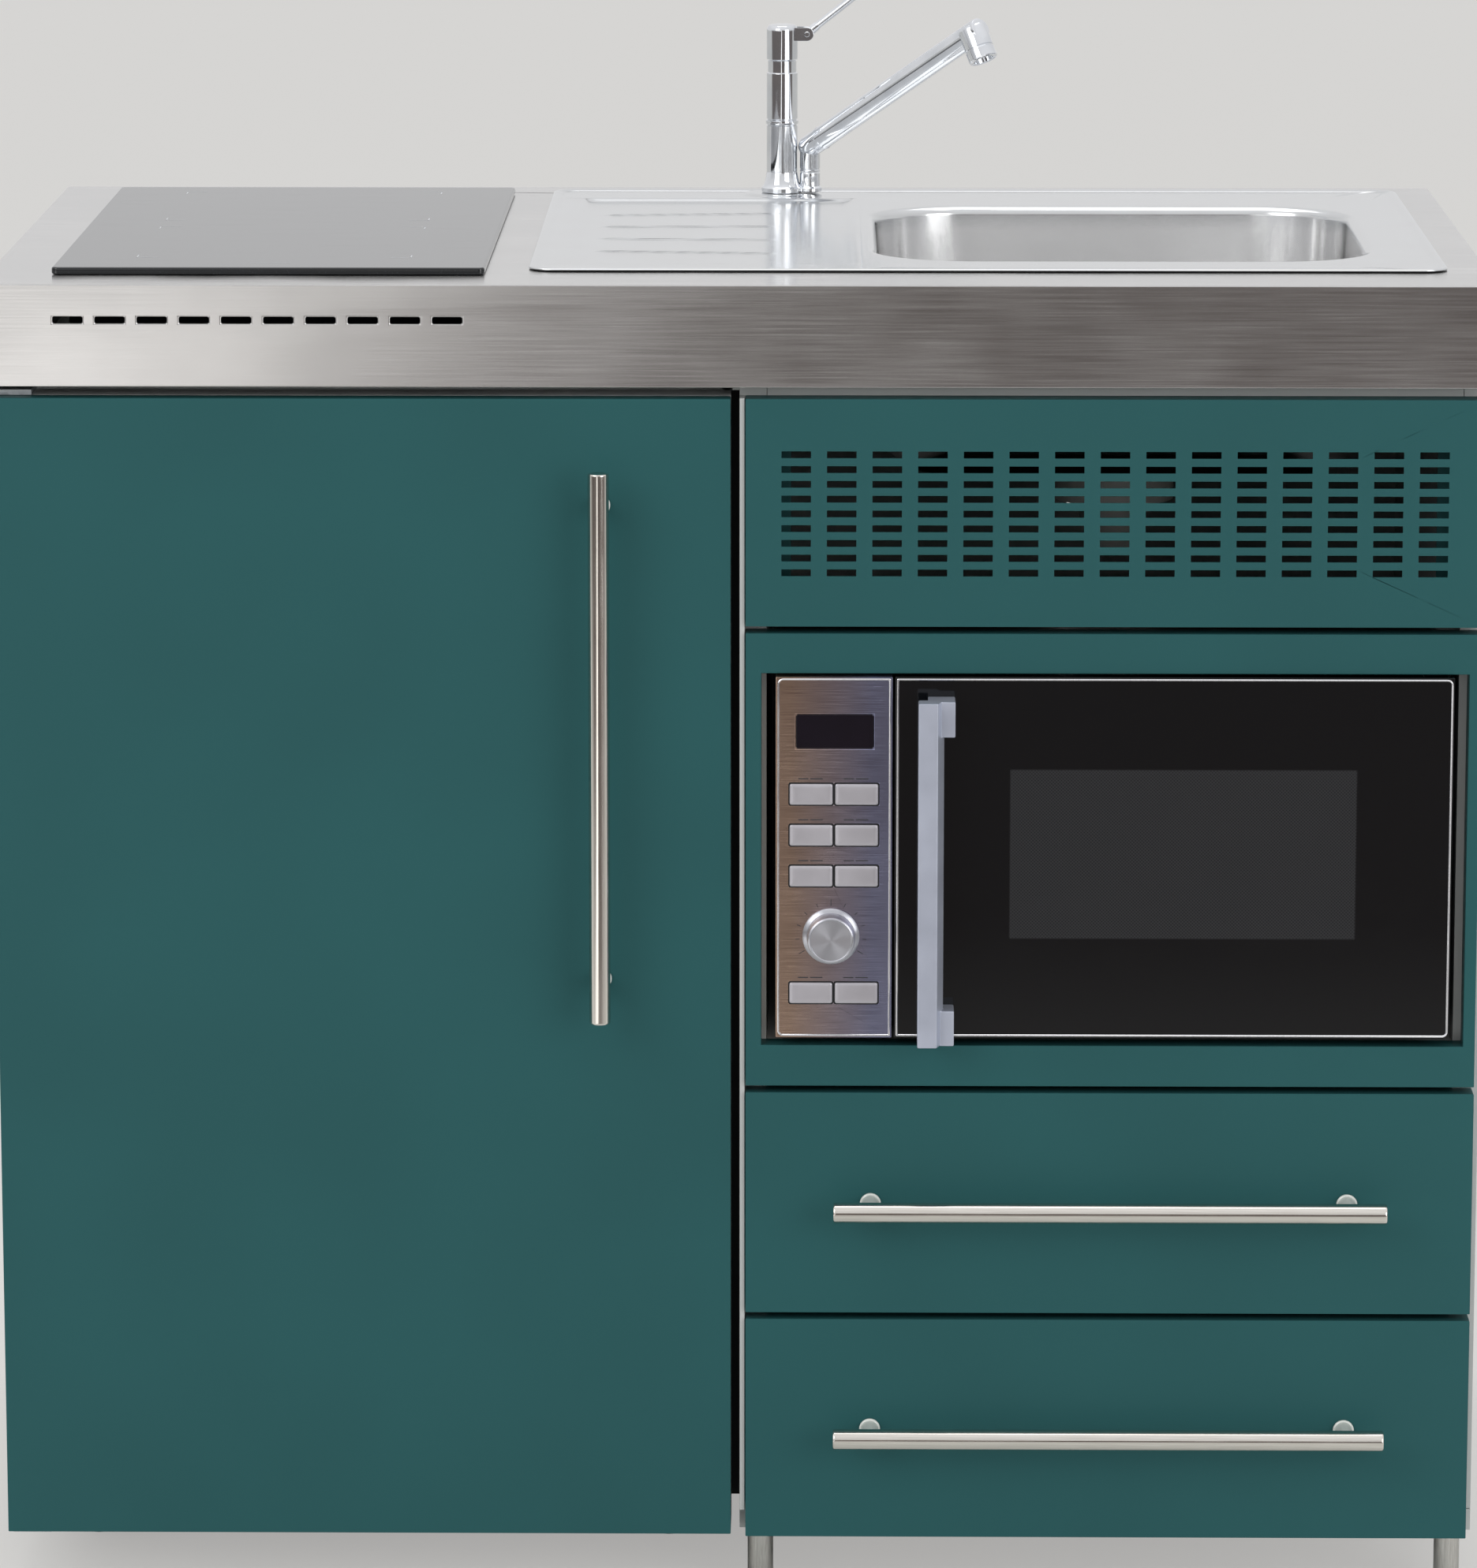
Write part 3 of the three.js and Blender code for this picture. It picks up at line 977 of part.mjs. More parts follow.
// moulded inner face of the door with its raised ridge; hollow towards the outer panel
function doorLiner() {
  const depths = [FRONT_SHEET + FIT, DOOR_THICKNESS];
  const inPan = FRONT_SHEET + FIT;
  const heights = [DOOR_BOTTOM + inPan, FRONTS_TOP - inPan];
  const core = block([DOOR_LEFT + inPan, DOOR_RIGHT - inPan], depths, heights);
  const rear = block([DOOR_LEFT, DOOR_RIGHT], [DOOR_PANEL_DEPTH + FIT, DOOR_THICKNESS],
    [DOOR_BOTTOM, FRONTS_TOP]);
  const wall = inPan + DOOR_LINER_WALL;
  const hollow = block([DOOR_LEFT + wall, DOOR_RIGHT - wall], [0, DOOR_THICKNESS - DOOR_LINER_WALL],
    [DOOR_BOTTOM + wall, FRONTS_TOP - wall]);
  const pinHoles = [DOOR_BOTTOM, FRONTS_TOP].map((z) => upright(HINGE_PIN_RADIUS + FIT, HINGE_X, HINGE_DEPTH,
    z - 2 * wall, z + 2 * wall, COARSE));
  return cut(join(core, rear, doorRidge()), hollow, ...pinHoles);
}

// ring on the inner face that enters the larder's mouth
function doorRidge() {
  const x = [RIDGE_LEFT + DOOR_RIDGE_WIDTH / 2, DOOR_RIGHT - DOOR_RIDGE_INSET];
  const z = [LARDER_BOTTOM + DOOR_RIDGE_WIDTH, LARDER_TOP - DOOR_RIDGE_WIDTH];
  const shrink = ([low, high]) => [low + DOOR_RIDGE_WIDTH, high - DOOR_RIDGE_WIDTH];
  const depths = [DOOR_THICKNESS - DOOR_LINER_WALL / 2, DOOR_THICKNESS + DOOR_RIDGE_DEPTH];
  return cut(block(x, depths, z), block(shrink(x), [0, 2 * depths[1]], shrink(z)));
}

function doorSeal() {
  const depths = [DOOR_THICKNESS + FIT, DOOR_THICKNESS + FIT + DOOR_SEAL_DEPTH];
  const outer = ([low, high]) => [low + DOOR_SEAL_INSET, high - DOOR_SEAL_INSET];
  const inner = ([low, high]) => [low + DOOR_SEAL_WIDTH, high - DOOR_SEAL_WIDTH];
  const [x, z] = [outer([DOOR_LEFT, DOOR_RIGHT]), outer([DOOR_BOTTOM, FRONTS_TOP])];
  return cut(block(x, depths, z), block(inner(x), [0, 2 * depths[1]], inner(z)));
}

// bottle rack between the ridge's uprights
function doorRack() {
  const side = DOOR_RIDGE_WIDTH + FIT;
  const x = [RIDGE_LEFT + DOOR_RIDGE_WIDTH / 2 + side, DOOR_RIGHT - DOOR_RIDGE_INSET - side];
  const bottom = LARDER_BOTTOM + RACK_LIFT;
  return openBox(x, [RACK_BACK - RACK_DEPTH, RACK_BACK], [bottom, bottom + RACK_HEIGHT], RACK_WALL);
}

function fridge() {
  const group = new THREE.Group();
  group.add(
    mesh('fridge_cabinet', fridgeCabinet(), WHITE_LINER),
    mesh('fridge_base', fridgeBase(), BLACK_STEEL),
    mesh('fridge_shelf', fridgeShelf(), CLEAR_GLASS),
    mesh('crisper_drawer', crisperDrawer(), CLEAR_PLASTIC),
    mesh('compressor', compressor(), BLACK_STEEL,
      [FRIDGE_RIGHT - COMPRESSOR_INSET, FRIDGE_BACK - HUMP_DEPTH / 2, DOOR_BOTTOM]),
    mesh('fridge_hinge_lower', fridgeHinge(1), ZINC, [0, 0, DOOR_BOTTOM - FIT]),
    mesh('fridge_hinge_upper', fridgeHinge(-1), ZINC, [0, 0, FRONTS_TOP + FIT]),
  );
  const handle = mesh('fridge_handle', barHandle(), SATIN_STAINLESS,
    [DOOR_RIGHT - FRIDGE_HANDLE_INSET, 0, FRONTS_TOP - FRIDGE_HANDLE_DROP]);
  handle.rotation.y = Math.PI / 2;
  group.add(
    mesh('fridge_door_panel', frontPan(DOOR_WIDTH, DOOR_HEIGHT, DOOR_PANEL_DEPTH, 0), TEAL_ENAMEL,
      [DOOR_X, 0, DOOR_Z]),
    mesh('fridge_door_liner', doorLiner(), WHITE_LINER),
    mesh('fridge_door_seal', doorSeal(), GREY_RUBBER),
    mesh('door_rack', doorRack(), CLEAR_PLASTIC),
    handle,
  );
  return group;
}

// ---------------------------------------------------------------- microwave oven

// hinge lug for one end of the door: a tongue from the body with a pin
function ovenLug(z, side) {
  const x = OVEN_WIDTH - OVEN_PIVOT_INSET;
  const plate = [z, z + side * OVEN_LUG_PLATE].sort((a, b) => a - b);
  const pin = [z, z + side * (OVEN_LUG_PLATE + OVEN_PIN_LENGTH)].sort((a, b) => a - b);
  return join(
    upright(OVEN_LUG_RADIUS, x, OVEN_PIVOT_DEPTH, plate[0], plate[1], COARSE),
    block(around(x, 2 * OVEN_LUG_RADIUS), [OVEN_PIVOT_DEPTH, OVEN_BODY_FRONT + OVEN_SHEET / 2], plate),
    upright(OVEN_PIN_RADIUS, x, OVEN_PIVOT_DEPTH, pin[0], pin[1], COARSE),
  );
}

// sheet body with the cooking cavity inside, a bay behind the controls, feet and hinge lugs
function ovenCasing() {
  const skin = OVEN_SHEET;
  const [front, back] = [OVEN_BODY_FRONT, OVEN_BODY_FRONT + OVEN_BODY_DEPTH];
  const outer = block([0, OVEN_WIDTH], [front, back], [0, OVEN_HEIGHT]);
  const inside = block([skin, OVEN_WIDTH - skin], [front + skin, back - skin], [skin, OVEN_HEIGHT - skin]);
  const cavityX = [CAVITY_LEFT, CAVITY_LEFT + CAVITY_WIDTH];
  const cavityZ = [CAVITY_LIFT, CAVITY_LIFT + CAVITY_HEIGHT];
  const cavityBack = front + CAVITY_DEPTH;
  const liner = block([cavityX[0] - skin, cavityX[1] + skin], [front, cavityBack + skin],
    [cavityZ[0] - skin, cavityZ[1] + skin]);
  const cavity = block(cavityX, [front - REACH, cavityBack], cavityZ);
  const bay = block([OVEN_PANEL_LAP, OVEN_PANEL_WIDTH - OVEN_PANEL_LAP], [front - REACH, front + REACH],
    [OVEN_PANEL_LAP, OVEN_HEIGHT - OVEN_PANEL_LAP]);
  const feetX = [OVEN_FOOT_INSET, OVEN_WIDTH - OVEN_FOOT_INSET];
  const feetY = [front + OVEN_FOOT_INSET, back - OVEN_FOOT_INSET];
  const footBottom = SHELF_TOP + FIT - OVEN_BOTTOM;
  const feet = feetX.flatMap((x) => feetY.map((y) => upright(OVEN_FOOT_RADIUS, x, y, footBottom, skin / 2,
    COARSE)));
  const shell = cut(join(cut(outer, inside), liner), cavity, bay);
  const lugZ = OVEN_NOTCH_HEIGHT - OVEN_LUG_PLATE - 2 * FIT;
  return join(shell, ...feet, ovenLug(lugZ, 1), ovenLug(OVEN_HEIGHT - lugZ, -1));
}

// three rows of two under the display and one row of two at the bottom
function buttonPlaces() {
  const offset = (BUTTON_WIDTH + BUTTON_SPLIT) / 2;
  const topRows = Array.from({ length: BUTTON_TOP_ROWS }, (_, row) => (
    OVEN_HEIGHT - BUTTON_TOP_DROP - row * BUTTON_ROW_PITCH));
  return [...topRows, BUTTON_LOW_LIFT].flatMap((z, row) => (
    [['left', -offset], ['right', offset]].map(([side, shift]) => ({
      name: `button_row${row + 1}_${side}`, x: BUTTON_PAIR_X + shift, z,
    }))));
}

function ovenButton(clearance = 0, depths = [-BUTTON_PROUD, BUTTON_DEPTH - BUTTON_PROUD]) {
  return block(around(0, BUTTON_WIDTH + 2 * clearance), depths, around(0, BUTTON_HEIGHT + 2 * clearance));
}

// shallow cover with a display recess and holes for the buttons and the knob's shaft
function controlPanel() {
  const wall = OVEN_PANEL_WALL;
  const shell = cut(block([0, OVEN_PANEL_WIDTH], [0, OVEN_BODY_FRONT - FIT], [0, OVEN_HEIGHT]),
    block([wall, OVEN_PANEL_WIDTH - wall], [wall, OVEN_BODY_FRONT + REACH], [wall, OVEN_HEIGHT - wall]));
  const display = block(around(DISPLAY_X, DISPLAY_WIDTH), [-REACH, DISPLAY_RECESS],
    around(OVEN_HEIGHT - DISPLAY_DROP, DISPLAY_HEIGHT));
  const holes = buttonPlaces().map(({ x, z }) => (
    ovenButton(FIT, [-REACH, wall + REACH / 2]).translate(x, 0, z)));
  const shaftHole = through(KNOB_SHAFT_RADIUS + FIT, KNOB_X, KNOB_LIFT, -REACH, wall + REACH / 2, COARSE);
  return cut(shell, display, ...holes, shaftHole);
}

function ovenKnob() {
  const knob = turned([
    [0, -KNOB_SHAFT_LENGTH], [KNOB_SHAFT_RADIUS, -KNOB_SHAFT_LENGTH], [KNOB_SHAFT_RADIUS, FIT],
    [KNOB_SKIRT_RADIUS, FIT], [KNOB_SKIRT_RADIUS, KNOB_SKIRT_HEIGHT],
    [KNOB_RADIUS, KNOB_SKIRT_HEIGHT + KNOB_CHAMFER], [KNOB_RADIUS, KNOB_HEIGHT - KNOB_CHAMFER],
    [KNOB_RADIUS - KNOB_CHAMFER, KNOB_HEIGHT], [0, KNOB_HEIGHT],
  ]);
  return knob.rotateX(Math.PI / 2);
}

// glass-faced door, hollow behind, with notches for the hinge lugs in its right stile
function ovenDoor() {
  const [left, right] = [OVEN_DOOR_LEFT, OVEN_WIDTH];
  const slab = block([left, right], [0, OVEN_FRONT_DEPTH], [0, OVEN_HEIGHT]);
  const hollow = block([left + OVEN_DOOR_STILE, right - OVEN_HINGE_STILE],
    [OVEN_DOOR_SKIN, OVEN_FRONT_DEPTH + REACH], [OVEN_DOOR_STILE, OVEN_HEIGHT - OVEN_DOOR_STILE]);
  const notchX = [right - OVEN_NOTCH_WIDTH, right + REACH];
  const notchY = [OVEN_DOOR_SKIN, OVEN_FRONT_DEPTH + REACH];
  const pivotX = OVEN_WIDTH - OVEN_PIVOT_INSET;
  const pinReach = OVEN_NOTCH_HEIGHT + OVEN_PIN_LENGTH + 2 * FIT;
  const pinHole = (low, high) => upright(OVEN_PIN_RADIUS + FIT, pivotX, OVEN_PIVOT_DEPTH, low, high, COARSE);
  return cut(slab, hollow,
    block(notchX, notchY, [-REACH, OVEN_NOTCH_HEIGHT]),
    block(notchX, notchY, [OVEN_HEIGHT - OVEN_NOTCH_HEIGHT, OVEN_HEIGHT + REACH]),
    pinHole(0, pinReach), pinHole(OVEN_HEIGHT - pinReach, OVEN_HEIGHT));
}

// flat bar on two feet, with a slanted flank towards the window
function ovenHandle() {
  const outline = new THREE.Shape([
    [0, 0], [OVEN_HANDLE_WIDTH, 0], [OVEN_HANDLE_WIDTH + OVEN_HANDLE_FLANK, OVEN_HANDLE_BAR],
    [0, OVEN_HANDLE_BAR],
  ].map(([x, y]) => new THREE.Vector2(x, y)));
  const bar = new THREE.ExtrudeGeometry(outline, { depth: OVEN_HANDLE_HEIGHT, bevelEnabled: false });
  const footX = [OVEN_HANDLE_WIDTH / 2, OVEN_HANDLE_WIDTH / 2 + OVEN_HANDLE_FOOT_WIDTH];
  const feet = [0, OVEN_HANDLE_HEIGHT - OVEN_HANDLE_FOOT].map((z) => block(footX,
    [OVEN_HANDLE_BAR / 2, OVEN_HANDLE_REACH - FIT], [z, z + OVEN_HANDLE_FOOT]));
  return join(bar, ...feet);
}

function turntable() {
  return turned([
    [0, 0], [TURNTABLE_HUB_RADIUS, 0], [TURNTABLE_HUB_RADIUS, TURNTABLE_HUB_HEIGHT],
    [TURNTABLE_RADIUS, TURNTABLE_HUB_HEIGHT], [TURNTABLE_RADIUS, TURNTABLE_HUB_HEIGHT + TURNTABLE_THICKNESS],
    [0, TURNTABLE_HUB_HEIGHT + TURNTABLE_THICKNESS],
  ]);
}

function microwave() {
  const group = new THREE.Group();
  group.position.set(OVEN_LEFT, -OVEN_PROUD, OVEN_BOTTOM);
  group.add(
    mesh('microwave_casing', ovenCasing(), BLACK_STEEL),
    mesh('microwave_control_panel', controlPanel(), PANEL_METAL),
    mesh('microwave_door', ovenDoor(), BLACK_GLASS),
    mesh('microwave_handle', ovenHandle(), SILVER_PLASTIC,
      [OVEN_HANDLE_X - OVEN_HANDLE_WIDTH / 2, -OVEN_HANDLE_REACH, OVEN_HANDLE_LIFT]),
    mesh('microwave_knob', ovenKnob(), SILVER_PLASTIC, [KNOB_X, 0, KNOB_LIFT]),
    mesh('turntable', turntable(), CLEAR_GLASS,
      [CAVITY_LEFT + CAVITY_WIDTH / 2, OVEN_BODY_FRONT + CAVITY_DEPTH / 2, CAVITY_LIFT + FIT]),
    ...buttonPlaces().map(({ name, x, z }) => mesh(name, ovenButton(), BUTTON_METAL, [x, 0, z])),
  );
  return group;
}

// ---------------------------------------------------------------- the unit

const kitchenette = new THREE.Group();
kitchenette.position.y = FRONT_Y;
kitchenette.add(
  mesh('worktop', worktop(), BRUSHED_STAINLESS),
  carcass(), fronts(), drawer('upper', UPPER_DRAWER_Z), drawer('lower', LOWER_DRAWER_Z),
  hob(), sink(), tap(), fridge(), microwave(),
);

export default kitchenette;
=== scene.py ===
"""Looks of a one-metre kitchenette unit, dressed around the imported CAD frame.

The unit has a folded steel worktop with a glass hob, an inset sink and a mixer tap, over a fridge,
a vented panel, a microwave oven and two drawers. The frame gives every place; sizes here are in
millimetres and turn to metres when a mesh is made.
"""

import json
import logging
import math
from collections.abc import Sequence
from dataclasses import dataclass, field, replace
from enum import Enum

import bmesh
import bpy
from mathutils import Matrix, Vector


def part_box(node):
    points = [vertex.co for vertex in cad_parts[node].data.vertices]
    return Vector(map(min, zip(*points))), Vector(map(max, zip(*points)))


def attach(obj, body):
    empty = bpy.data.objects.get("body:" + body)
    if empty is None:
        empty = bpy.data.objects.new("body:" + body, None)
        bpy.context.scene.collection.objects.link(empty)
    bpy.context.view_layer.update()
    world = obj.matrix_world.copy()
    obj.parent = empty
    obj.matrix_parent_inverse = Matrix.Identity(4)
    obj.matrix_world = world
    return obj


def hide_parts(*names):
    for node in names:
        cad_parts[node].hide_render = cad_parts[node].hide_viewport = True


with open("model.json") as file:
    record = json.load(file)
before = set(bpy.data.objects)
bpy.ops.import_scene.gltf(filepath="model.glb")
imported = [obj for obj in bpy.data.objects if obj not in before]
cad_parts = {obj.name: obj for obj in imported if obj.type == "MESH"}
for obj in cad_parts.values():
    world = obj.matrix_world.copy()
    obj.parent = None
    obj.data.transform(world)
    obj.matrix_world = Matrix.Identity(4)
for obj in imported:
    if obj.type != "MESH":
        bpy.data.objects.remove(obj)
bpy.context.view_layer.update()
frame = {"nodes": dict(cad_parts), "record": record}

MM = 0.001
WELD_DISTANCE = 1e-7
SMOOTH_DEG = 38
BEVEL_DEG = 35
LOG = logging.getLogger("kitchenette")

Loop = list[Vector]
Profile = Sequence[tuple[float, float]]
Span = tuple[float, float]
Tone = str | bpy.types.NodeSocket


class Axis(Enum):
    """A direction in the unit's frame, as the index of its coordinate."""

    X = 0
    Y = 1
    Z = 2

    @property
    def vector(self) -> Vector:
        """Unit vector along the axis."""
        return Vector([float(i == self.value) for i in range(3)])


# ---------------------------------------------------------------- places from the frame


@dataclass(frozen=True)
class Box:
    """The box of a CAD node, in millimetres.

    Attributes:
        lo: Lowest corner.
        hi: Highest corner.
    """

    lo: Vector
    hi: Vector

    @classmethod
    def of(cls, node: str) -> "Box":
        """Box of a CAD node at rest."""
        lo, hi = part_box(node)
        return cls(lo / MM, hi / MM)

    @property
    def centre(self) -> Vector:
        """Middle of the box."""
        return (self.lo + self.hi) / 2

    @property
    def size(self) -> Vector:
        """Lengths of the box along the three axes."""
        return self.hi - self.lo


def body_of(node: str) -> str:
    """Name of the CAD body that a node belongs to."""
    bodies = frame["record"]["behaviour"]["bodies"]
    return next(body for body, members in bodies.items() if node in members)


# ---------------------------------------------------------------- meshes


class Shell:
    """A mesh under construction, in millimetres."""

    def __init__(self) -> None:
        """Start with no points and no faces."""
        self.points: list[Vector] = []
        self.faces: list[list[int]] = []

    def loft(self, loops: Sequence[Loop], caps: tuple[bool, bool] = (True, True),
             closed: bool = True) -> "Shell":
        """Skin a row of loops that have the same number of points.

        Args:
            loops: The loops, from the first end to the last.
            caps: Whether the first and the last loop are filled.
            closed: Whether each loop runs back to its first point.

        Returns:
            The shell itself.
        """
        rings = []
        for loop in loops:
            rings.append(list(range(len(self.points), len(self.points) + len(loop))))
            self.points.extend(loop)
        count = len(rings[0])
        for low, high in zip(rings, rings[1:]):
            for i in range(count if closed else count - 1):
                j = (i + 1) % count
                self.faces.append([low[i], low[j], high[j], high[i]])
        if caps[0]:
            self.faces.append(rings[0][::-1])
        if caps[1]:
            self.faces.append(rings[-1])
        return self

    def turned(self, profile: Profile, place: Matrix, segments: int = 48) -> "Shell":
        """Add a piece turned about its own axis.

        Args:
            profile: Radius and height of each step, from the first end to the last.
            place: Takes the axis Z to where the piece stands.
            segments: Number of sides.

        Returns:
            The shell itself.
        """
        turns = [2 * math.pi * i / segments for i in range(segments)]
        loops = [[place @ Vector((r * math.cos(a), r * math.sin(a), h)) for a in turns] for r, h in profile]
        return self.loft(loops)

    def slab(self, outline: Sequence[tuple[float, float]], place: Matrix, depth: Span, roll: float,
             steps: int = 3) -> "Shell":
        """Add a plate with rolled edges.

        Args:
            outline: The plate's outline, anticlockwise, in the plate's own plane.
            place: Takes the plate's plane to where it lies.
            depth: Heights of its two faces.
            roll: Radius of the rolled edge.
            steps: Number of facets in the roll.

        Returns:
            The shell itself.
        """
        def level(shrink: float, height: float) -> Loop:
            return [place @ Vector((x, y, height)) for x, y in inset(outline, shrink)]

        turns = quarter_turn(steps)
        low = [level(roll * (1 - math.sin(a)), depth[0] + roll * (1 - math.cos(a))) for a in turns]
        high = [level(roll * (1 - math.sin(a)), depth[1] - roll * (1 - math.cos(a))) for a in turns[::-1]]
        return self.loft(low + high)


def quarter_turn(steps: int) -> list[float]:
    """Angles of a quarter turn in even steps, both ends included."""
    return [math.pi / 2 * i / steps for i in range(steps + 1)]


def inset(outline: Sequence[tuple[float, float]], by: float) -> list[tuple[float, float]]:
    """Move each point of a convex outline inwards.

    Args:
        outline: Points in order, anticlockwise.
        by: Distance to move the sides.

    Returns:
        The moved points.
    """
    if by == 0:
        return list(outline)
    moved = []
    count = len(outline)
    for i, (x, y) in enumerate(outline):
        here = Vector((x, y))
        before = (here - Vector(outline[i - 1])).normalized()
        after = (Vector(outline[(i + 1) % count]) - here).normalized()
        inward = Vector((-before.y - after.y, before.x + after.x)).normalized()
        slant = max(0.3, inward.dot(Vector((-before.y, before.x))))
        moved.append(tuple(here + inward * by / slant))
    return moved


def rounded(half_x: float, half_y: float, radii: float | Sequence[float], arc: int = 8,
            side: int = 1) -> list[tuple[float, float]]:
    """Outline of a rectangle with rounded corners, anticlockwise from its lower right corner.

    Args:
        half_x: Half of the width.
        half_y: Half of the height.
        radii: Corner radius, or the four radii from the lower right corner on.
        arc: Number of steps round a corner.
        side: Number of steps along a side.

    Returns:
        The points.
    """
    four = [radii] * 4 if isinstance(radii, (int, float)) else list(radii)
    signs = [(1, -1), (1, 1), (-1, 1), (-1, -1)]
    corners = []
    for quarter, ((sx, sy), radius) in enumerate(zip(signs, four)):
        centre = (sx * (half_x - radius), sy * (half_y - radius))
        angles = [(quarter - 1 + i / arc) * math.pi / 2 for i in range(arc + 1)]
        corners.append([(centre[0] + radius * math.cos(a), centre[1] + radius * math.sin(a)) for a in angles])
    points = []
    for quarter, corner in enumerate(corners):
        points.extend(corner)
        start, end = Vector(corner[-1]), Vector(corners[(quarter + 1) % 4][0])
        points.extend(tuple(start.lerp(end, i / side)) for i in range(1, side))
    return points


def facing(origin: Vector, axis: Vector, up: str = "Y") -> Matrix:
    """Matrix that takes Z to an axis from an origin."""
    return Matrix.Translation(origin) @ axis.to_track_quat("Z", up).to_matrix().to_4x4()


def upright(x: float, y: float, z: float) -> Matrix:
    """Matrix that stands a turned piece at a place."""
    return Matrix.Translation((x, y, z))


def front_plane(x: float, y: float, z: float) -> Matrix:
    """Matrix of a plane that faces the front: its X to the right, its Y up, its heights towards -Y."""
    return Matrix.Translation((x, y, z)) @ Matrix.Rotation(math.pi / 2, 4, "X")


def stand_in(name: str, shell: Shell, finish: "Finish", *nodes: str, crease_deg: float = 32,
             sheet: float = 0) -> bpy.types.Object:
    """Make a piece that stands for one or more CAD nodes.

    Args:
        name: Name of the piece.
        shell: Its mesh, in millimetres.
        finish: Its surface.
        nodes: The nodes that it stands for; it moves with the first.
        crease_deg: Angle above which an edge stays sharp.
        sheet: Thickness given to an open shell, in millimetres.

    Returns:
        The new object.
    """
    piece = add_piece(name, shell, finish, body_of(nodes[0]), crease_deg, sheet)
    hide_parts(*nodes)
    return piece


def add_piece(name: str, shell: Shell, finish: "Finish", body: str, crease_deg: float = 32,
              sheet: float = 0) -> bpy.types.Object:
    """Make a piece from a shell and let it ride on a body.

    Args:
        name: Name of the piece.
        shell: Its mesh, in millimetres.
        finish: Its surface.
        body: The CAD body that it moves with.
        crease_deg: Angle above which an edge stays sharp.
        sheet: Thickness given to an open shell, in millimetres.

    Returns:
        The new object.
    """
    mesh = bpy.data.meshes.new(name)
    mesh.from_pydata([point * MM for point in shell.points], [], shell.faces)
    work = bmesh.new()
    work.from_mesh(mesh)
    bmesh.ops.remove_doubles(work, verts=work.verts, dist=WELD_DISTANCE)
    bmesh.ops.recalc_face_normals(work, faces=work.faces)
    work.to_mesh(mesh)
    work.free()
    mesh.shade_smooth()
    mesh.set_sharp_from_angle(angle=math.radians(crease_deg))
    mesh.materials.append(finish.material())
    piece = bpy.data.objects.new(name, mesh)
    bpy.context.scene.collection.objects.link(piece)
    if sheet:
        thick = piece.modifiers.new("sheet", "SOLIDIFY")
        thick.thickness, thick.offset = sheet * MM, -1
    piece.modifiers.new("flat_faces", "WEIGHTED_NORMAL").keep_sharp = True
    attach(piece, body)
    LOG.info("%s rides on %s", name, body)
    return piece


# ---------------------------------------------------------------- CAD nodes that stay


def clean_up_group(name: str, weld: bool) -> bpy.types.NodeTree:
    """Geometry node group that welds a CAD mesh, or smooths it across its shallow edges.

    Args:
        name: Name of the group.
        weld: Whether to weld; otherwise the group smooths.

    Returns:
        The group.
    """
    found = bpy.data.node_groups.get(name)
    if found:
        return found
    tree = bpy.data.node_groups.new(name, "GeometryNodeTree")
    graph = Graph(tree)
    for way in ("INPUT", "OUTPUT"):
        tree.interface.new_socket("Geometry", in_out=way, socket_type="NodeSocketGeometry")
    mesh = graph.add("NodeGroupInput").outputs[0]
    if weld:
        plain = graph.add("GeometryNodeRemoveAttribute", inputs={"Geometry": mesh, "Name": "custom_normal"})
        mesh = graph.add("GeometryNodeMergeByDistance", inputs={
            "Geometry": plain.outputs[0], "Distance": 1e-5}).outputs[0]
    else:
        angle = graph.add("GeometryNodeInputMeshEdgeAngle").outputs[0]
        steep = graph.add("FunctionNodeCompare", {"operation": "GREATER_THAN"}, {
            0: angle, 1: math.radians(SMOOTH_DEG)})
        faces = graph.add("GeometryNodeSetShadeSmooth", {"domain": "FACE"}, {
            "Geometry": mesh, "Shade Smooth": True})
        mesh = graph.add("GeometryNodeSetShadeSmooth", {"domain": "EDGE"}, {
            "Geometry": faces.outputs[0], "Selection": steep.outputs[0], "Shade Smooth": False}).outputs[0]
    graph.add("NodeGroupOutput", inputs={0: mesh})
    return tree


def dress(finish: "Finish", *nodes: str, edge: float = 0.4) -> None:
    """Give CAD nodes that stay their surface and softened edges.

    Args:
        finish: The surface.
        nodes: The nodes.
        edge: Width of the softened edge, in millimetres.
    """
    for node in nodes:
        piece = frame["nodes"][node]
        piece.material_slots[0].material = finish.material()
        piece.modifiers.new("weld", "NODES").node_group = clean_up_group("cad_weld", True)
        if edge:
            bevel = piece.modifiers.new("soft_edge", "BEVEL")
            bevel.width = edge * MM
            bevel.segments = 2
            bevel.limit_method = "ANGLE"
            bevel.angle_limit = math.radians(BEVEL_DEG)
            bevel.use_clamp_overlap = True
        piece.modifiers.new("smooth", "NODES").node_group = clean_up_group("cad_smooth", False)
        piece.modifiers.new("flat_faces", "WEIGHTED_NORMAL").keep_sharp = True
        LOG.info("%s keeps its CAD mesh, finished in %s", node, finish.name)


# ---------------------------------------------------------------- finishes


def linear(colour: str) -> tuple[float, float, float, float]:
    """Turn an sRGB hex colour to linear light.

    Args:
        colour: The colour as #RRGGBB.

    Returns:
        Red, green, blue and an alpha of 1.
    """
    parts = [int(colour[i:i + 2], 16) / 255 for i in (1, 3, 5)]
    red, green, blue = (c / 12.92 if c <= 0.04045 else ((c + 0.055) / 1.055) ** 2.4 for c in parts)
    return red, green, blue, 1.0


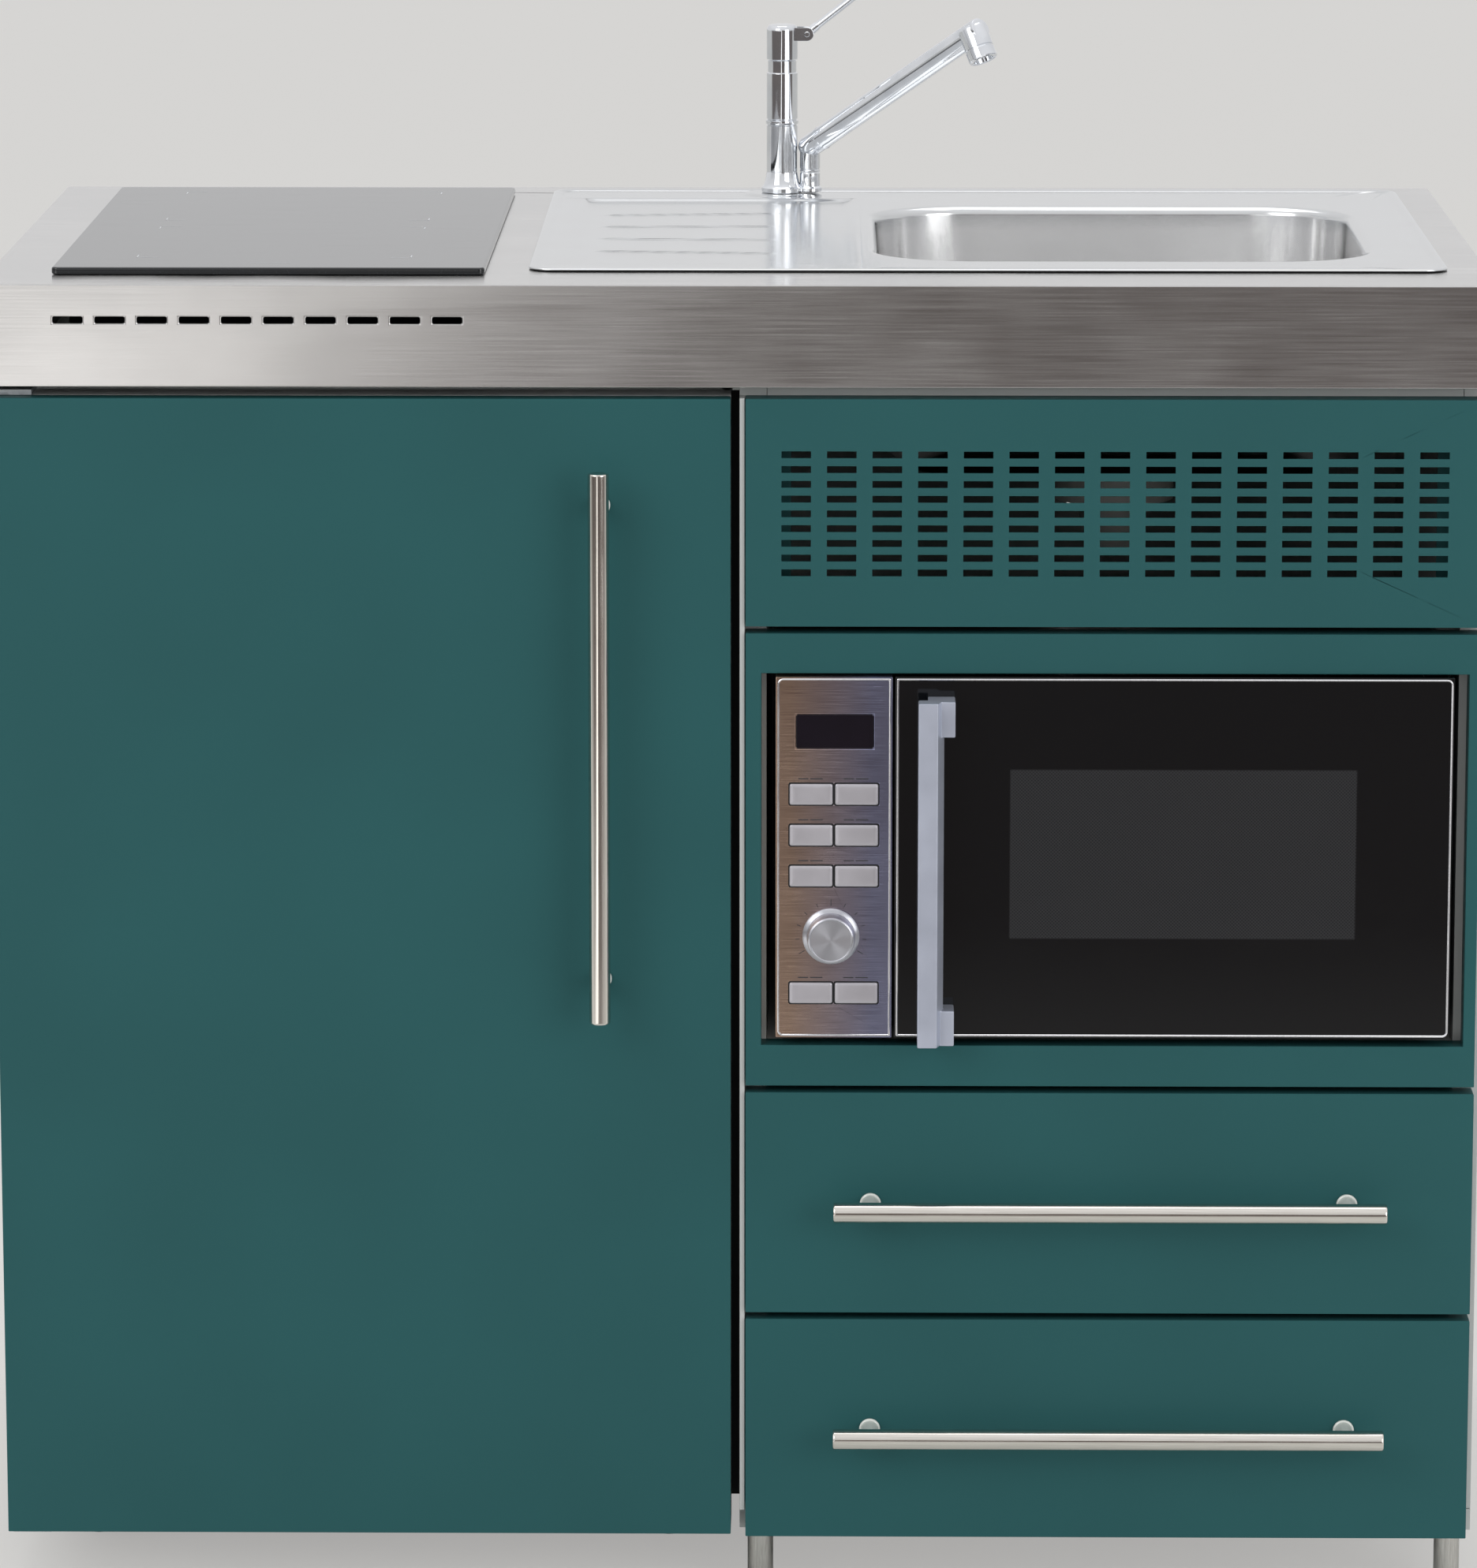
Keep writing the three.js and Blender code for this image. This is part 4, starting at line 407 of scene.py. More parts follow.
class Graph:
    """A node tree under construction."""

    def __init__(self, tree: bpy.types.NodeTree) -> None:
        """Start from an empty tree."""
        self.tree = tree
        tree.nodes.clear()

    def add(self, kind: str, settings: dict | None = None, inputs: dict | None = None) -> bpy.types.Node:
        """Add a node with its settings and links.

        Args:
            kind: Blender's name of the node type.
            settings: Properties of the node.
            inputs: Values or sockets for its inputs, by name or number.

        Returns:
            The node.
        """
        node = self.tree.nodes.new(kind)
        for name, value in (settings or {}).items():
            setattr(node, name, value)
        for socket, value in (inputs or {}).items():
            if isinstance(value, bpy.types.NodeSocket):
                self.tree.links.new(value, node.inputs[socket])
            else:
                node.inputs[socket].default_value = value
        return node

    def grain(self, spacing: tuple[float, float, float], detail: float = 2.0,
              seed: float = 0.0) -> bpy.types.NodeSocket:
        """Noise whose features have a real size along each axis.

        Args:
            spacing: Size of a feature along X, Y and Z, in millimetres.
            detail: Number of finer layers.
            seed: Moves the pattern, so that two of them differ.

        Returns:
            The noise, from 0 to 1.
        """
        scaled = self.add("ShaderNodeMapping", inputs={
            "Vector": self.place, "Scale": [1 / (size * MM) for size in spacing],
            "Location": (seed, seed, seed)})
        return self.add("ShaderNodeTexNoise", inputs={
            "Vector": scaled.outputs[0], "Scale": 1.0, "Detail": detail}).outputs[0]

    @property
    def place(self) -> bpy.types.NodeSocket:
        """Place on the piece, in metres."""
        return self.add("ShaderNodeTexCoord").outputs["Object"]

    def part(self, axis: Axis, place: bpy.types.NodeSocket | None = None) -> bpy.types.NodeSocket:
        """One coordinate of a place, or of the place on the piece."""
        whole = self.place if place is None else place
        return self.add("ShaderNodeSeparateXYZ", inputs={0: whole}).outputs[axis.value]

    def calc(self, operation: str, first: object, second: object = 0.0) -> bpy.types.NodeSocket:
        """Combine two values, or change the first alone."""
        return self.add("ShaderNodeMath", {"operation": operation}, {0: first, 1: second}).outputs[0]

    def vector(self, operation: str, first: object, second: object = (0, 0, 0),
               output: int | str = 0) -> bpy.types.NodeSocket:
        """Combine two vectors, or change the first alone."""
        node = self.add("ShaderNodeVectorMath", {"operation": operation}, {0: first, 1: second})
        return node.outputs[output]

    def ranged(self, value: bpy.types.NodeSocket, low: float, high: float,
               span: Span = (0.3, 0.7)) -> bpy.types.NodeSocket:
        """Stretch the middle of a pattern to a range of values."""
        return self.add("ShaderNodeMapRange", inputs={
            "Value": value, "From Min": span[0], "From Max": span[1],
            "To Min": low, "To Max": high}).outputs[0]

    def product(self, first: object, second: object) -> bpy.types.NodeSocket:
        """Multiply two values."""
        return self.calc("MULTIPLY", first, second)

    def between(self, factor: bpy.types.NodeSocket | float, first: Tone,
                second: Tone) -> bpy.types.NodeSocket:
        """Mix two colours, given as hex or as sockets."""
        one, two = (linear(c) if isinstance(c, str) else c for c in (first, second))
        return self.add("ShaderNodeMix", {"data_type": "RGBA"}, {0: factor, 6: one, 7: two}).outputs[2]

    def bumped(self, height: bpy.types.NodeSocket, depth: float) -> bpy.types.NodeSocket:
        """Normal bent by a height pattern of a real depth in millimetres."""
        return self.add("ShaderNodeBump", inputs={
            "Height": height, "Strength": 1.0, "Distance": depth * MM}).outputs[0]

    def surface(self, **inputs: object) -> None:
        """Add the surface shader, with spaces in its input names given as underscores, and the output."""
        named = {name.replace("_", " "): value for name, value in inputs.items()}
        shader = self.add("ShaderNodeBsdfPrincipled", inputs=named)
        self.add("ShaderNodeOutputMaterial", inputs={"Surface": shader.outputs[0]})


def in_metres(span: Span) -> Span:
    """Turn a span in millimetres to metres."""
    return span[0] * MM, span[1] * MM


@dataclass(frozen=True)
class Finish:
    """A surface: what it is made of and how it was made.

    Attributes:
        name: Name of the material.
    """

    name: str

    def material(self) -> bpy.types.Material:
        """Return the material, made on first use."""
        found = bpy.data.materials.get(self.name)
        if found:
            return found
        made = bpy.data.materials.new(self.name)
        made.use_nodes = True
        self.shade(Graph(made.node_tree))
        return made

    def shade(self, graph: Graph) -> None:
        """Fill the material's node tree."""
        raise NotImplementedError


@dataclass(frozen=True)
class BrushedSteel(Finish):
    """Stainless steel brushed one way: long fine scratches that stretch each highlight across them.

    Attributes:
        light: Colour of the crests.
        dark: Colour in the scratches.
        along: Direction of the brushing.
        length: Length of a scratch, in millimetres.
        width: Width of a scratch; coarser than the real grit of 0.1, so that it shows.
        roughness: Lowest and highest roughness.
        anisotropy: Stretch of the highlights.
        depth: Depth of the scratches, in millimetres.
    """

    light: str = "#D3D2D1"
    dark: str = "#C2C1C0"
    along: Axis = Axis.X
    length: float = 90
    width: float = 0.9
    roughness: Span = (0.19, 0.25)
    anisotropy: float = 0.75
    depth: float = 0.001

    def shade(self, graph: Graph) -> None:
        """Streaks in colour, roughness and height, with faint broad smears over them."""
        spacing = [self.width] * 3
        spacing[self.along.value] = self.length
        streaks = graph.grain(tuple(spacing), 3)
        smears = graph.grain((90, 90, 60), 2, 3.7)
        tone = graph.between(graph.ranged(streaks, 0, 1), *self.tones(graph))
        rough = graph.calc("ADD", graph.ranged(streaks, *self.roughness), graph.ranged(smears, -0.03, 0.03))
        normal = graph.add("ShaderNodeNewGeometry").outputs["Normal"]
        across = graph.vector("CROSS_PRODUCT", normal, self.along.vector)
        graph.surface(Base_Color=tone, Metallic=1.0, Roughness=rough, Anisotropic=self.anisotropy,
                      Tangent=across, Normal=graph.bumped(streaks, self.depth))

    def tones(self, graph: Graph) -> tuple[Tone, Tone]:
        """Colours of the scratches and of the crests."""
        return self.dark, self.light


@dataclass(frozen=True)
class SteelWithPaintedReflection(BrushedSteel):
    """Brushed steel with a painted reflection: warm towards its left side and bluish towards its right.

    Attributes:
        painted_reflection_light: Colour of the crests on the right; a painted reflection that turns the panel
            bluish.
        painted_reflection_dark: Colour in the scratches on the right; the same painted reflection.
        turn: Where the painted reflection turns from warm to bluish, in millimetres from the middle of the
            unit.
    """

    painted_reflection_light: str = "#9A9CB8"
    painted_reflection_dark: str = "#8587A2"
    turn: Span = (35, 90)

    def tones(self, graph: Graph) -> tuple[Tone, Tone]:
        """Colours of the scratches and of the crests, from warm to cool: a painted reflection across the
        panel.
        """
        # painted reflection: mask from the warm left to the bluish right
        side = graph.ranged(graph.part(Axis.X), 0, 1, in_metres(self.turn))
        return (graph.between(side, self.dark, self.painted_reflection_dark),
                graph.between(side, self.light, self.painted_reflection_light))


@dataclass(frozen=True)
class TurnedSteel(Finish):
    """Aluminium faced on a lathe: rings round the axis that gather light into two bright fans.

    Attributes:
        axis_x: Place of the lathe's axis across, in millimetres.
        axis_z: Height of the lathe's axis.
        pitch: Distance between rings; the real 0.1, drawn at 0.5 so that it shows.
        anisotropy: Stretch of the highlights.
    """

    axis_x: float = 0
    axis_z: float = 0
    pitch: float = 0.5
    anisotropy: float = 0.85

    def shade(self, graph: Graph) -> None:
        """Rings in colour and height, with the highlights stretched along the radius."""
        radius = graph.vector("SUBTRACT", graph.place, (self.axis_x * MM, 0, self.axis_z * MM))
        flat = graph.vector("MULTIPLY", radius, (1, 0, 1))
        reach = graph.vector("LENGTH", flat, output="Value")
        rings = graph.calc("COSINE", graph.product(reach, 2 * math.pi / (self.pitch * MM)))
        tone = graph.between(graph.ranged(rings, 0, 1, (-1, 1)), "#B4B5BC", "#C9CAD0")
        graph.surface(Base_Color=tone, Metallic=1.0, Roughness=graph.ranged(rings, 0.28, 0.34, (-1, 1)),
                      Anisotropic=self.anisotropy, Tangent=flat)


@dataclass(frozen=True)
class PolishedSteel(Finish):
    """Stainless steel pressed and polished with felt: soft cloudy reflections and fine hairlines.

    Attributes:
        light: Colour of clean metal.
        dark: Colour where it is a little dull.
        roughness: Lowest and highest roughness.
        bowl: Painted light inside the bowl: a brighter colour that stands in for light bouncing between the
            walls.
        bowl_painted_light_z: Heights between which the bowl's painted light gives way to the deck's colour,
            in millimetres.
    """

    light: str = "#D3D5D6"
    dark: str = "#CFD0D1"
    roughness: Span = (0.155, 0.17)
    bowl: str = "#EAEAEA"
    bowl_painted_light_z: Span = (885, 898)

    def shade(self, graph: Graph) -> None:
        """Clouds of dullness, fine hairlines and painted light that brightens the bowl."""
        clouds = graph.grain((26, 26, 26), 3)
        lines = graph.grain((30, 0.5, 6), 2, 5.1)
        tone = graph.between(graph.ranged(clouds, 0, 1), self.dark, self.light)
        rough = graph.calc("ADD", graph.ranged(clouds, *self.roughness), graph.ranged(lines, 0, 0.03))
        # painted light: brighter below the deck, inside the bowl
        painted_bowl_light = graph.ranged(graph.part(Axis.Z), 1, 0, in_metres(self.bowl_painted_light_z))
        graph.surface(Base_Color=graph.between(painted_bowl_light, tone, self.bowl), Metallic=1.0, Roughness=rough,
                      Normal=graph.bumped(lines, 0.0008))


@dataclass(frozen=True)
class Chrome(Finish):
    """Brass plated with bright chrome: a clean mirror with the faintest haze of finger marks.

    Attributes:
        colour: Colour of the plating.
    """

    colour: str = "#E3E5E8"

    def shade(self, graph: Graph) -> None:
        """Mirror with a haze in patches."""
        haze = graph.grain((14, 14, 14), 3)
        tone = graph.between(graph.ranged(haze, 0, 1), self.colour, "#D6D9DD")
        graph.surface(Base_Color=tone, Metallic=1.0, Roughness=graph.ranged(haze, 0.03, 0.09),
                      Normal=graph.bumped(graph.grain((9, 9, 9), 1, 2.0), 0.004))


@dataclass(frozen=True)
class ZincPlate(Finish):
    """Steel sheet dipped in zinc: dull bluish metal with crystals a few millimetres across.

    Attributes:
        crystal: Width of a crystal, in millimetres.
    """

    crystal: float = 5

    def shade(self, graph: Graph) -> None:
        """Crystals in colour and roughness."""
        cells = graph.add("ShaderNodeTexVoronoi", inputs={
            "Vector": graph.place, "Scale": 1 / (self.crystal * MM)})
        shade = graph.add("ShaderNodeSeparateColor", inputs={0: cells.outputs["Color"]}).outputs[0]
        graph.surface(Base_Color=graph.between(shade, "#A9AEB2", "#C2C6C9"), Metallic=1.0,
                      Roughness=graph.ranged(shade, 0.32, 0.5, (0, 1)),
                      Normal=graph.bumped(graph.grain((1.2, 1.2, 1.2)), 0.004))


@dataclass(frozen=True)
class PowderCoat(Finish):
    """Polyester powder baked on steel: satin paint with a fine orange peel.

    Attributes:
        colour: Colour of the paint.
        shadow: Colour where the coat is a little thinner.
        peel: Width of an orange-peel dimple, in millimetres.
        roughness: Lowest and highest roughness.
    """

    colour: str = "#285658"
    shadow: str = "#275355"
    peel: float = 1.6
    roughness: Span = (0.42, 0.5)

    def shade(self, graph: Graph) -> None:
        """Broad faint clouds in the colour and small dimples in the surface."""
        clouds = graph.grain((140, 140, 140), 1)
        dimples = graph.grain((self.peel,) * 3, 1, 1.3)
        graph.surface(Base_Color=graph.between(graph.ranged(clouds, 0, 1), self.shadow, self.colour),
                      Roughness=graph.ranged(graph.grain((9, 9, 9), 3, 4.4), *self.roughness),
                      Specular_IOR_Level=0.12, Normal=graph.bumped(dimples, 0.012))


@dataclass(frozen=True)
class Plastic(Finish):
    """Moulded plastic: even colour, a soft gloss and the faint texture of the mould.

    Attributes:
        colour: Colour of the plastic.
        shadow: Colour of its faint mottling.
        roughness: Lowest and highest roughness.
        metallic: Share of metal flake in a lacquered one.
        texture: Size of the mould's texture, in millimetres.
    """

    colour: str = "#E8E9E6"
    shadow: str = "#DFE0DC"
    roughness: Span = (0.32, 0.42)
    metallic: float = 0.0
    texture: float = 0.8

    def shade(self, graph: Graph) -> None:
        """Faint mottling and mould texture."""
        mottle = graph.grain((30, 30, 30), 3)
        texture = graph.grain((self.texture,) * 3, 2, 2.2)
        graph.surface(Base_Color=graph.between(graph.ranged(mottle, 0, 1), self.shadow, self.colour),
                      Metallic=self.metallic, Roughness=graph.ranged(mottle, *self.roughness),
                      Normal=graph.bumped(texture, 0.006))


@dataclass(frozen=True)
class Rubber(Finish):
    """Extruded rubber: matt, with fine lines from the die and a little dust.

    Attributes:
        colour: Colour of the rubber.
        dust: Colour where dust has settled.
    """

    colour: str = "#17181A"
    dust: str = "#2A2B2C"

    def shade(self, graph: Graph) -> None:
        """Dust in patches over a fine grain."""
        patches = graph.grain((12, 12, 12), 4)
        graph.surface(Base_Color=graph.between(graph.ranged(patches, 0, 0.6), self.colour, self.dust),
                      Roughness=graph.ranged(patches, 0.65, 0.85), Specular_IOR_Level=0.3,
                      Normal=graph.bumped(graph.grain((0.6, 0.6, 0.6)), 0.02))


@dataclass(frozen=True)
class ClearSheet(Finish):
    """Clear toughened glass or clear moulded plastic: see-through, faintly tinted, with wipe marks.

    Attributes:
        colour: Tint.
        roughness: Lowest and highest roughness.
    """

    colour: str = "#E4EFEC"
    roughness: Span = (0.02, 0.08)

    def shade(self, graph: Graph) -> None:
        """Tinted glass with patches of haze."""
        haze = graph.grain((35, 35, 12), 3)
        graph.surface(Base_Color=graph.between(graph.ranged(haze, 0, 1), self.colour, "#EEF4F2"),
                      Roughness=graph.ranged(haze, *self.roughness), Transmission_Weight=0.92, IOR=1.49)


@dataclass(frozen=True)
class HobCeramic(Finish):
    """Glass-ceramic, rolled and polished: near-black body, mirror gloss and a fine printed speckle.

    Attributes:
        body: Colour of the glass.
        speckle: Colour of the printed dots.
        pitch: Distance between dots, in millimetres.
    """

    body: str = "#0E1114"
    speckle: str = "#23282C"
    pitch: float = 2.4

    def shade(self, graph: Graph) -> None:
        """Dots under a clean mirror with wipe marks."""
        dots = graph.add("ShaderNodeTexVoronoi", inputs={
            "Vector": graph.place, "Scale": 1 / (self.pitch * MM)})
        dot = graph.ranged(dots.outputs["Distance"], 1, 0, (0.12, 0.2))
        wipes = graph.grain((60, 14, 60), 3)
        graph.surface(Base_Color=graph.between(dot, self.body, self.speckle), IOR=1.52,
                      Roughness=graph.ranged(wipes, 0.03, 0.09))


@dataclass(frozen=True)
class Print(Finish):
    """Screen-printed ink: thin, even and a little chalky.

    Attributes:
        colour: Colour of the ink.
    """

    colour: str = "#C9CCD0"

    def shade(self, graph: Graph) -> None:
        """Slight unevenness of the ink."""
        speck = graph.grain((0.8, 0.8, 0.8), 2)
        graph.surface(Base_Color=graph.between(graph.ranged(speck, 0.85, 1), "#4A4C50", self.colour),
                      Roughness=graph.ranged(speck, 0.4, 0.6))


@dataclass(frozen=True)
class DoorGlass(Finish):
    """Float glass with black backing print; the window's print is dotted over a perforated screen.

    Attributes:
        window_x: Left and right edge of the window, in millimetres.
        window_z: Lower and upper edge of the window.
        pitch: Distance between the holes of the screen; the real 1.2, drawn at 2.2 so that it shows.
        blur: Half the width of the window's soft edge.
    """

    window_x: Span = (0, 1)
    window_z: Span = (0, 1)
    pitch: float = 2.2
    blur: float = 0.6

    def shade(self, graph: Graph) -> None:
        """Black border, and a dark grey screen with round holes inside the window."""
        inside, rows, turns = 1.0, [], 2 * math.pi / (self.pitch * MM)
        for axis, (low, high) in ((Axis.X, self.window_x), (Axis.Z, self.window_z)):
            reach = graph.calc("ABSOLUTE", graph.calc("SUBTRACT", graph.part(axis), (low + high) / 2 * MM))
            edge = (high - low) / 2
            within = graph.ranged(reach, 1, 0, in_metres((edge - self.blur, edge + self.blur)))
            inside = graph.product(inside, within)
            rows.append(graph.calc("COSINE", graph.product(graph.part(axis), turns)))
        holes = graph.product(*rows)
        screen = graph.between(graph.ranged(holes, 0, 1, (-0.2, 0.5)), "#2E2F31", "#1E1F21")
        graph.surface(Base_Color=graph.between(inside, "#0A0B0D", screen), IOR=1.5,
                      Roughness=graph.ranged(graph.grain((40, 40, 25), 3), 0.04, 0.1))


WORKTOP_STEEL = BrushedSteel("brushed_stainless_sheet")
HANDLE_STEEL = BrushedSteel("ground_stainless_bar", light="#E0DCD5", dark="#CFCAC2", roughness=(0.1, 0.16),
                            length=30, width=0.5, anisotropy=0.4)
FRIDGE_HANDLE_STEEL = replace(HANDLE_STEEL, name="ground_stainless_bar_upright", along=Axis.Z)
# The posts' pale colour is a painted reflection: metal posts coloured light so that they look bright.
POST_PAINTED_REFLECTION = Plastic("post_painted_reflection", colour="#DCDFDA", shadow="#D5D8D3", metallic=0.15,
                     roughness=(0.3, 0.4))
LEG_STEEL = BrushedSteel("satin_stainless_tube", light="#C8C6C2", dark="#AEABA6", along=Axis.Z, length=12)
SINK_STEEL = PolishedSteel("polished_pressed_stainless")
# The control panel's colour, warm on the left and bluish on the right, is a painted reflection.
PANEL_STEEL = SteelWithPaintedReflection("brushed_steel_painted_reflection", light="#BFA492", dark="#A9907F",
                             roughness=(0.2, 0.28), length=25, width=0.5)
BRIGHT_TRIM = BrushedSteel("bright_drawn_trim", light="#F0F0F2", dark="#DEDEE2", along=Axis.Z, length=20,
                           roughness=(0.15, 0.25), anisotropy=0.2)
CHROME = Chrome("bright_chrome_plate")
ZINC = ZincPlate("zinc_dipped_sheet")
TEAL = PowderCoat("teal_powder_coat")
GREY = PowderCoat("light_grey_powder_coat", colour="#BEC0BF", shadow="#BBBDBC")
BLACK_ENAMEL = PowderCoat("black_baked_enamel", colour="#222326", shadow="#1B1C1E", roughness=(0.35, 0.5))
LINER = Plastic("white_formed_liner", colour="#F0F2F1", shadow="#EDEFEE")
WHITE_PIPE = Plastic("white_moulded_pipe", colour="#E4E4E0", shadow="#DAD9D4")
SILVER = Plastic("silver_lacquered_plastic", colour="#B7BCCB", shadow="#AEB3C2", metallic=0.45,
                 roughness=(0.28, 0.38))
KEY_PLASTIC = Plastic("silver_lacquered_key", colour="#B9B6BC", shadow="#AFACB2", metallic=0.5,
                      roughness=(0.3, 0.4))
CLEAR_PLASTIC = ClearSheet("clear_moulded_plastic", colour="#DCE8EA", roughness=(0.06, 0.14))
CLEAR_GLASS = ClearSheet("clear_toughened_glass")
CERAMIC = HobCeramic("black_glass_ceramic")
PALE_INK = Print("pale_fired_ink")
DARK_INK = Print("dark_screen_ink", colour="#26252A")
BLACK_RUBBER = Rubber("black_extruded_rubber")
GREY_RUBBER = Rubber("grey_magnetic_gasket", colour="#8E9192", dust="#9DA0A0")
DISPLAY_GLASS = Plastic("smoked_display_window", colour="#120D18", shadow="#0D0912", roughness=(0.06, 0.12))


# ---------------------------------------------------------------- worktop


@dataclass
class Worktop:
    """The folded sheet, the hob set in it and the hob's marks."""

    edge_roll: float = 1.4
    mark_length: float = 14
    mark_width: float = 0.9
    zone_reach: float = 92
    zone_rows: Span = (-0.2, 0.25)
    control_inset: float = 28

    def build(self) -> None:
        """Dress the sheet and make the hob's glass with its marks."""
        dress(WORKTOP_STEEL, "worktop", edge=1.0)
        dress(BLACK_ENAMEL, "hob_casing")
        box = Box.of("hob_glass")
        glass = Shell().slab(rounded(box.size.x / 2, box.size.y / 2, 4), upright(*box.centre.xy, 0),
                             (box.lo.z, box.hi.z), self.edge_roll)
        stand_in("hob_plate", glass, CERAMIC, "hob_glass")
        self.marks(box)

    def marks(self, box: Box) -> None:
        """Print short corner marks round the two cooking zones and one line for the controls.

        Args:
            box: The glass plate's box.
        """
        shell = Shell()
        top = (box.hi.z + 0.02, box.hi.z + 0.05)
        long, thin, round_off = self.mark_length / 2, self.mark_width / 2, self.mark_width / 3
        for row in self.zone_rows:
            centre = box.centre + Vector((0, row * box.size.y, 0))
            for sx, sy in ((-1, -1), (-1, 1), (1, -1), (1, 1)):
                x, y = centre.x + sx * self.zone_reach, centre.y + sy * self.zone_reach
                for half_x, half_y in ((long, thin), (thin, long)):
                    place = upright(x - sx * (half_x - thin), y - sy * (half_y - thin), 0)
                    shell.slab(rounded(half_x, half_y, round_off, 2), place, top, 0.01, 1)
        line = upright(box.centre.x, box.lo.y + self.control_inset, 0)
        shell.slab(rounded(self.mark_length, thin, round_off, 2), line, top, 0.01, 1)
        add_piece("hob_marks", shell, PALE_INK, "unit")


@dataclass
class Sink:
    """Inset sink pressed from one sheet: raised rim, drainer with ribs, bowl with a waste hole."""

    sheet: float = 1.0
    corner: float = 17
    rim_width: float = 8
    deck_drop: float = 1.0
    seam_margin: float = 11
    lip: float = 6
    bowl_corner: float = 65
    foot: float = 28
    draft: float = 5
    fall: float = 2.5
    waste: float = 42
    pocket_depth: float = 2.4
    pocket_slope: float = 7
    rib_rise: float = 0.7
    rib_width: float = 3.6
    rib_count: int = 4
    rib_pitch: float = 79
    rib_fan: float = 0.07
    rib_span: Span = (-100, 25)
    tap_ledge: float = 24
    tap_foot: float = 15
    bowl: Box = field(default_factory=lambda: Box(Vector((93, -153.5, 747.5)), Vector((426, 174.5, 902.5))))
    pocket: Box = field(default_factory=lambda: Box(Vector((-118, -175.5, 899)), Vector((78, 230.5, 902.5))))

    def build(self) -> None:
        """Make the sink and dress what hangs under it."""
        self.box = Box.of("sink")
        self.deck = self.box.hi.z - self.deck_drop
        column = Box.of("tap_column")
        self.tap = Vector((column.lo.x + self.tap_foot, column.centre.y, 0))
        shell = Shell()
        self.rim(shell)
        self.drainer(shell)
        self.basin(shell)
        stand_in("pressed_sink", shell, SINK_STEEL, "sink", crease_deg=60, sheet=self.sheet)
        dress(BLACK_RUBBER, "sink_seal", edge=0.15)
        dress(WHITE_PIPE, "waste_trap")
        self.strainer()

    def outline(self, inward: float, z: float, radii: float | Sequence[float] | None = None) -> Loop:
        """Loop round the sink at a distance inside its edge."""
        half = self.box.size / 2
        points = rounded(half.x - inward, half.y - inward, radii or max(4, self.corner - inward), 8, 24)
        return [Vector((self.box.centre.x + x, self.box.centre.y + y, z)) for x, y in points]

    def rim(self, shell: Shell) -> None:
        """Rolled rim: up from the seal, over a crest and down to the deck."""
        top = self.box.hi.z
        profile = [(0.3, top - 1.5), (0, top - 0.9), (0.25, top - 0.4), (1.0, top - 0.06), (2.2, top),
                   (4.2, top - 0.12), (6.2, top - 0.75), (self.rim_width, self.deck)]
        shell.loft([self.outline(inward, z) for inward, z in profile], (False, False))

    def height(self, x: float, y: float) -> float:
        """Height of the drainer's surface at a place.

        Args:
            x: Place across.
            y: Place in depth.

        Returns:
            The height, in millimetres above the floor.
        """
        lo, hi = self.pocket.lo, self.pocket.hi
        edge = min(x - lo.x, hi.x - x, y - lo.y, hi.y - y)
        sunk = smooth(edge / self.pocket_slope)
        z = self.deck - self.pocket_depth * sunk
        middle = self.pocket.centre
        for i in range(self.rib_count):
            order = i - (self.rib_count - 1) / 2
            line = middle.y + order * self.rib_pitch + math.tan(order * self.rib_fan) * (x - middle.x)
            across = abs(y - line) / (self.rib_width / 2)
            ends = min(x - self.rib_span[0], self.rib_span[1] - x) / 8
            z += self.rib_rise * smooth(1.2 - across) * smooth(ends) * sunk
        away = math.hypot(x - self.tap.x, y - self.tap.y)
        ledge = smooth((self.tap_ledge + 5 - away) / 5)
        return z * (1 - ledge) + (self.box.hi.z - 0.05) * ledge

    @property
    def seam(self) -> float:
        """Place across where the drainer's sheet meets the bowl's."""
        return self.bowl.lo.x - self.seam_margin

    def drainer(self, shell: Shell) -> None:
        """Sheet from the left rim to the seam, as rows of points along the depth."""
        lo, hi = self.box.lo, self.box.hi
        inner = self.rim_width
        rows = spread(lo.y + inner, hi.y - inner, 1.6)
        radius = self.corner - inner
        grid = []
        for y in rows:
            near = min(y - lo.y, hi.y - y) - inner
            bite = radius - math.sqrt(max(0.0, radius ** 2 - (radius - near) ** 2)) if near < radius else 0
            columns = spread(lo.x + inner + bite, self.seam, 4)
            grid.append([Vector((x, y, self.height(x, y))) for x in columns])
        count = min(len(row) for row in grid)
        shell.loft([row[:1] + row[len(row) - count + 1:] for row in grid], (False, False), closed=False)

    def basin(self, shell: Shell) -> None:
        """Sheet from the waste hole up the bowl's wall, over its lip and out to the right rim."""
        half = self.bowl.size / 2
        centre = self.bowl.centre
        floor = self.bowl.lo.z

        def ring(shrink: float, z: float, corner: float) -> Loop:
            points = rounded(half.x - shrink, half.y - shrink, corner, 12, 24)
            return [Vector((centre.x + x, centre.y + y, z)) for x, y in points]

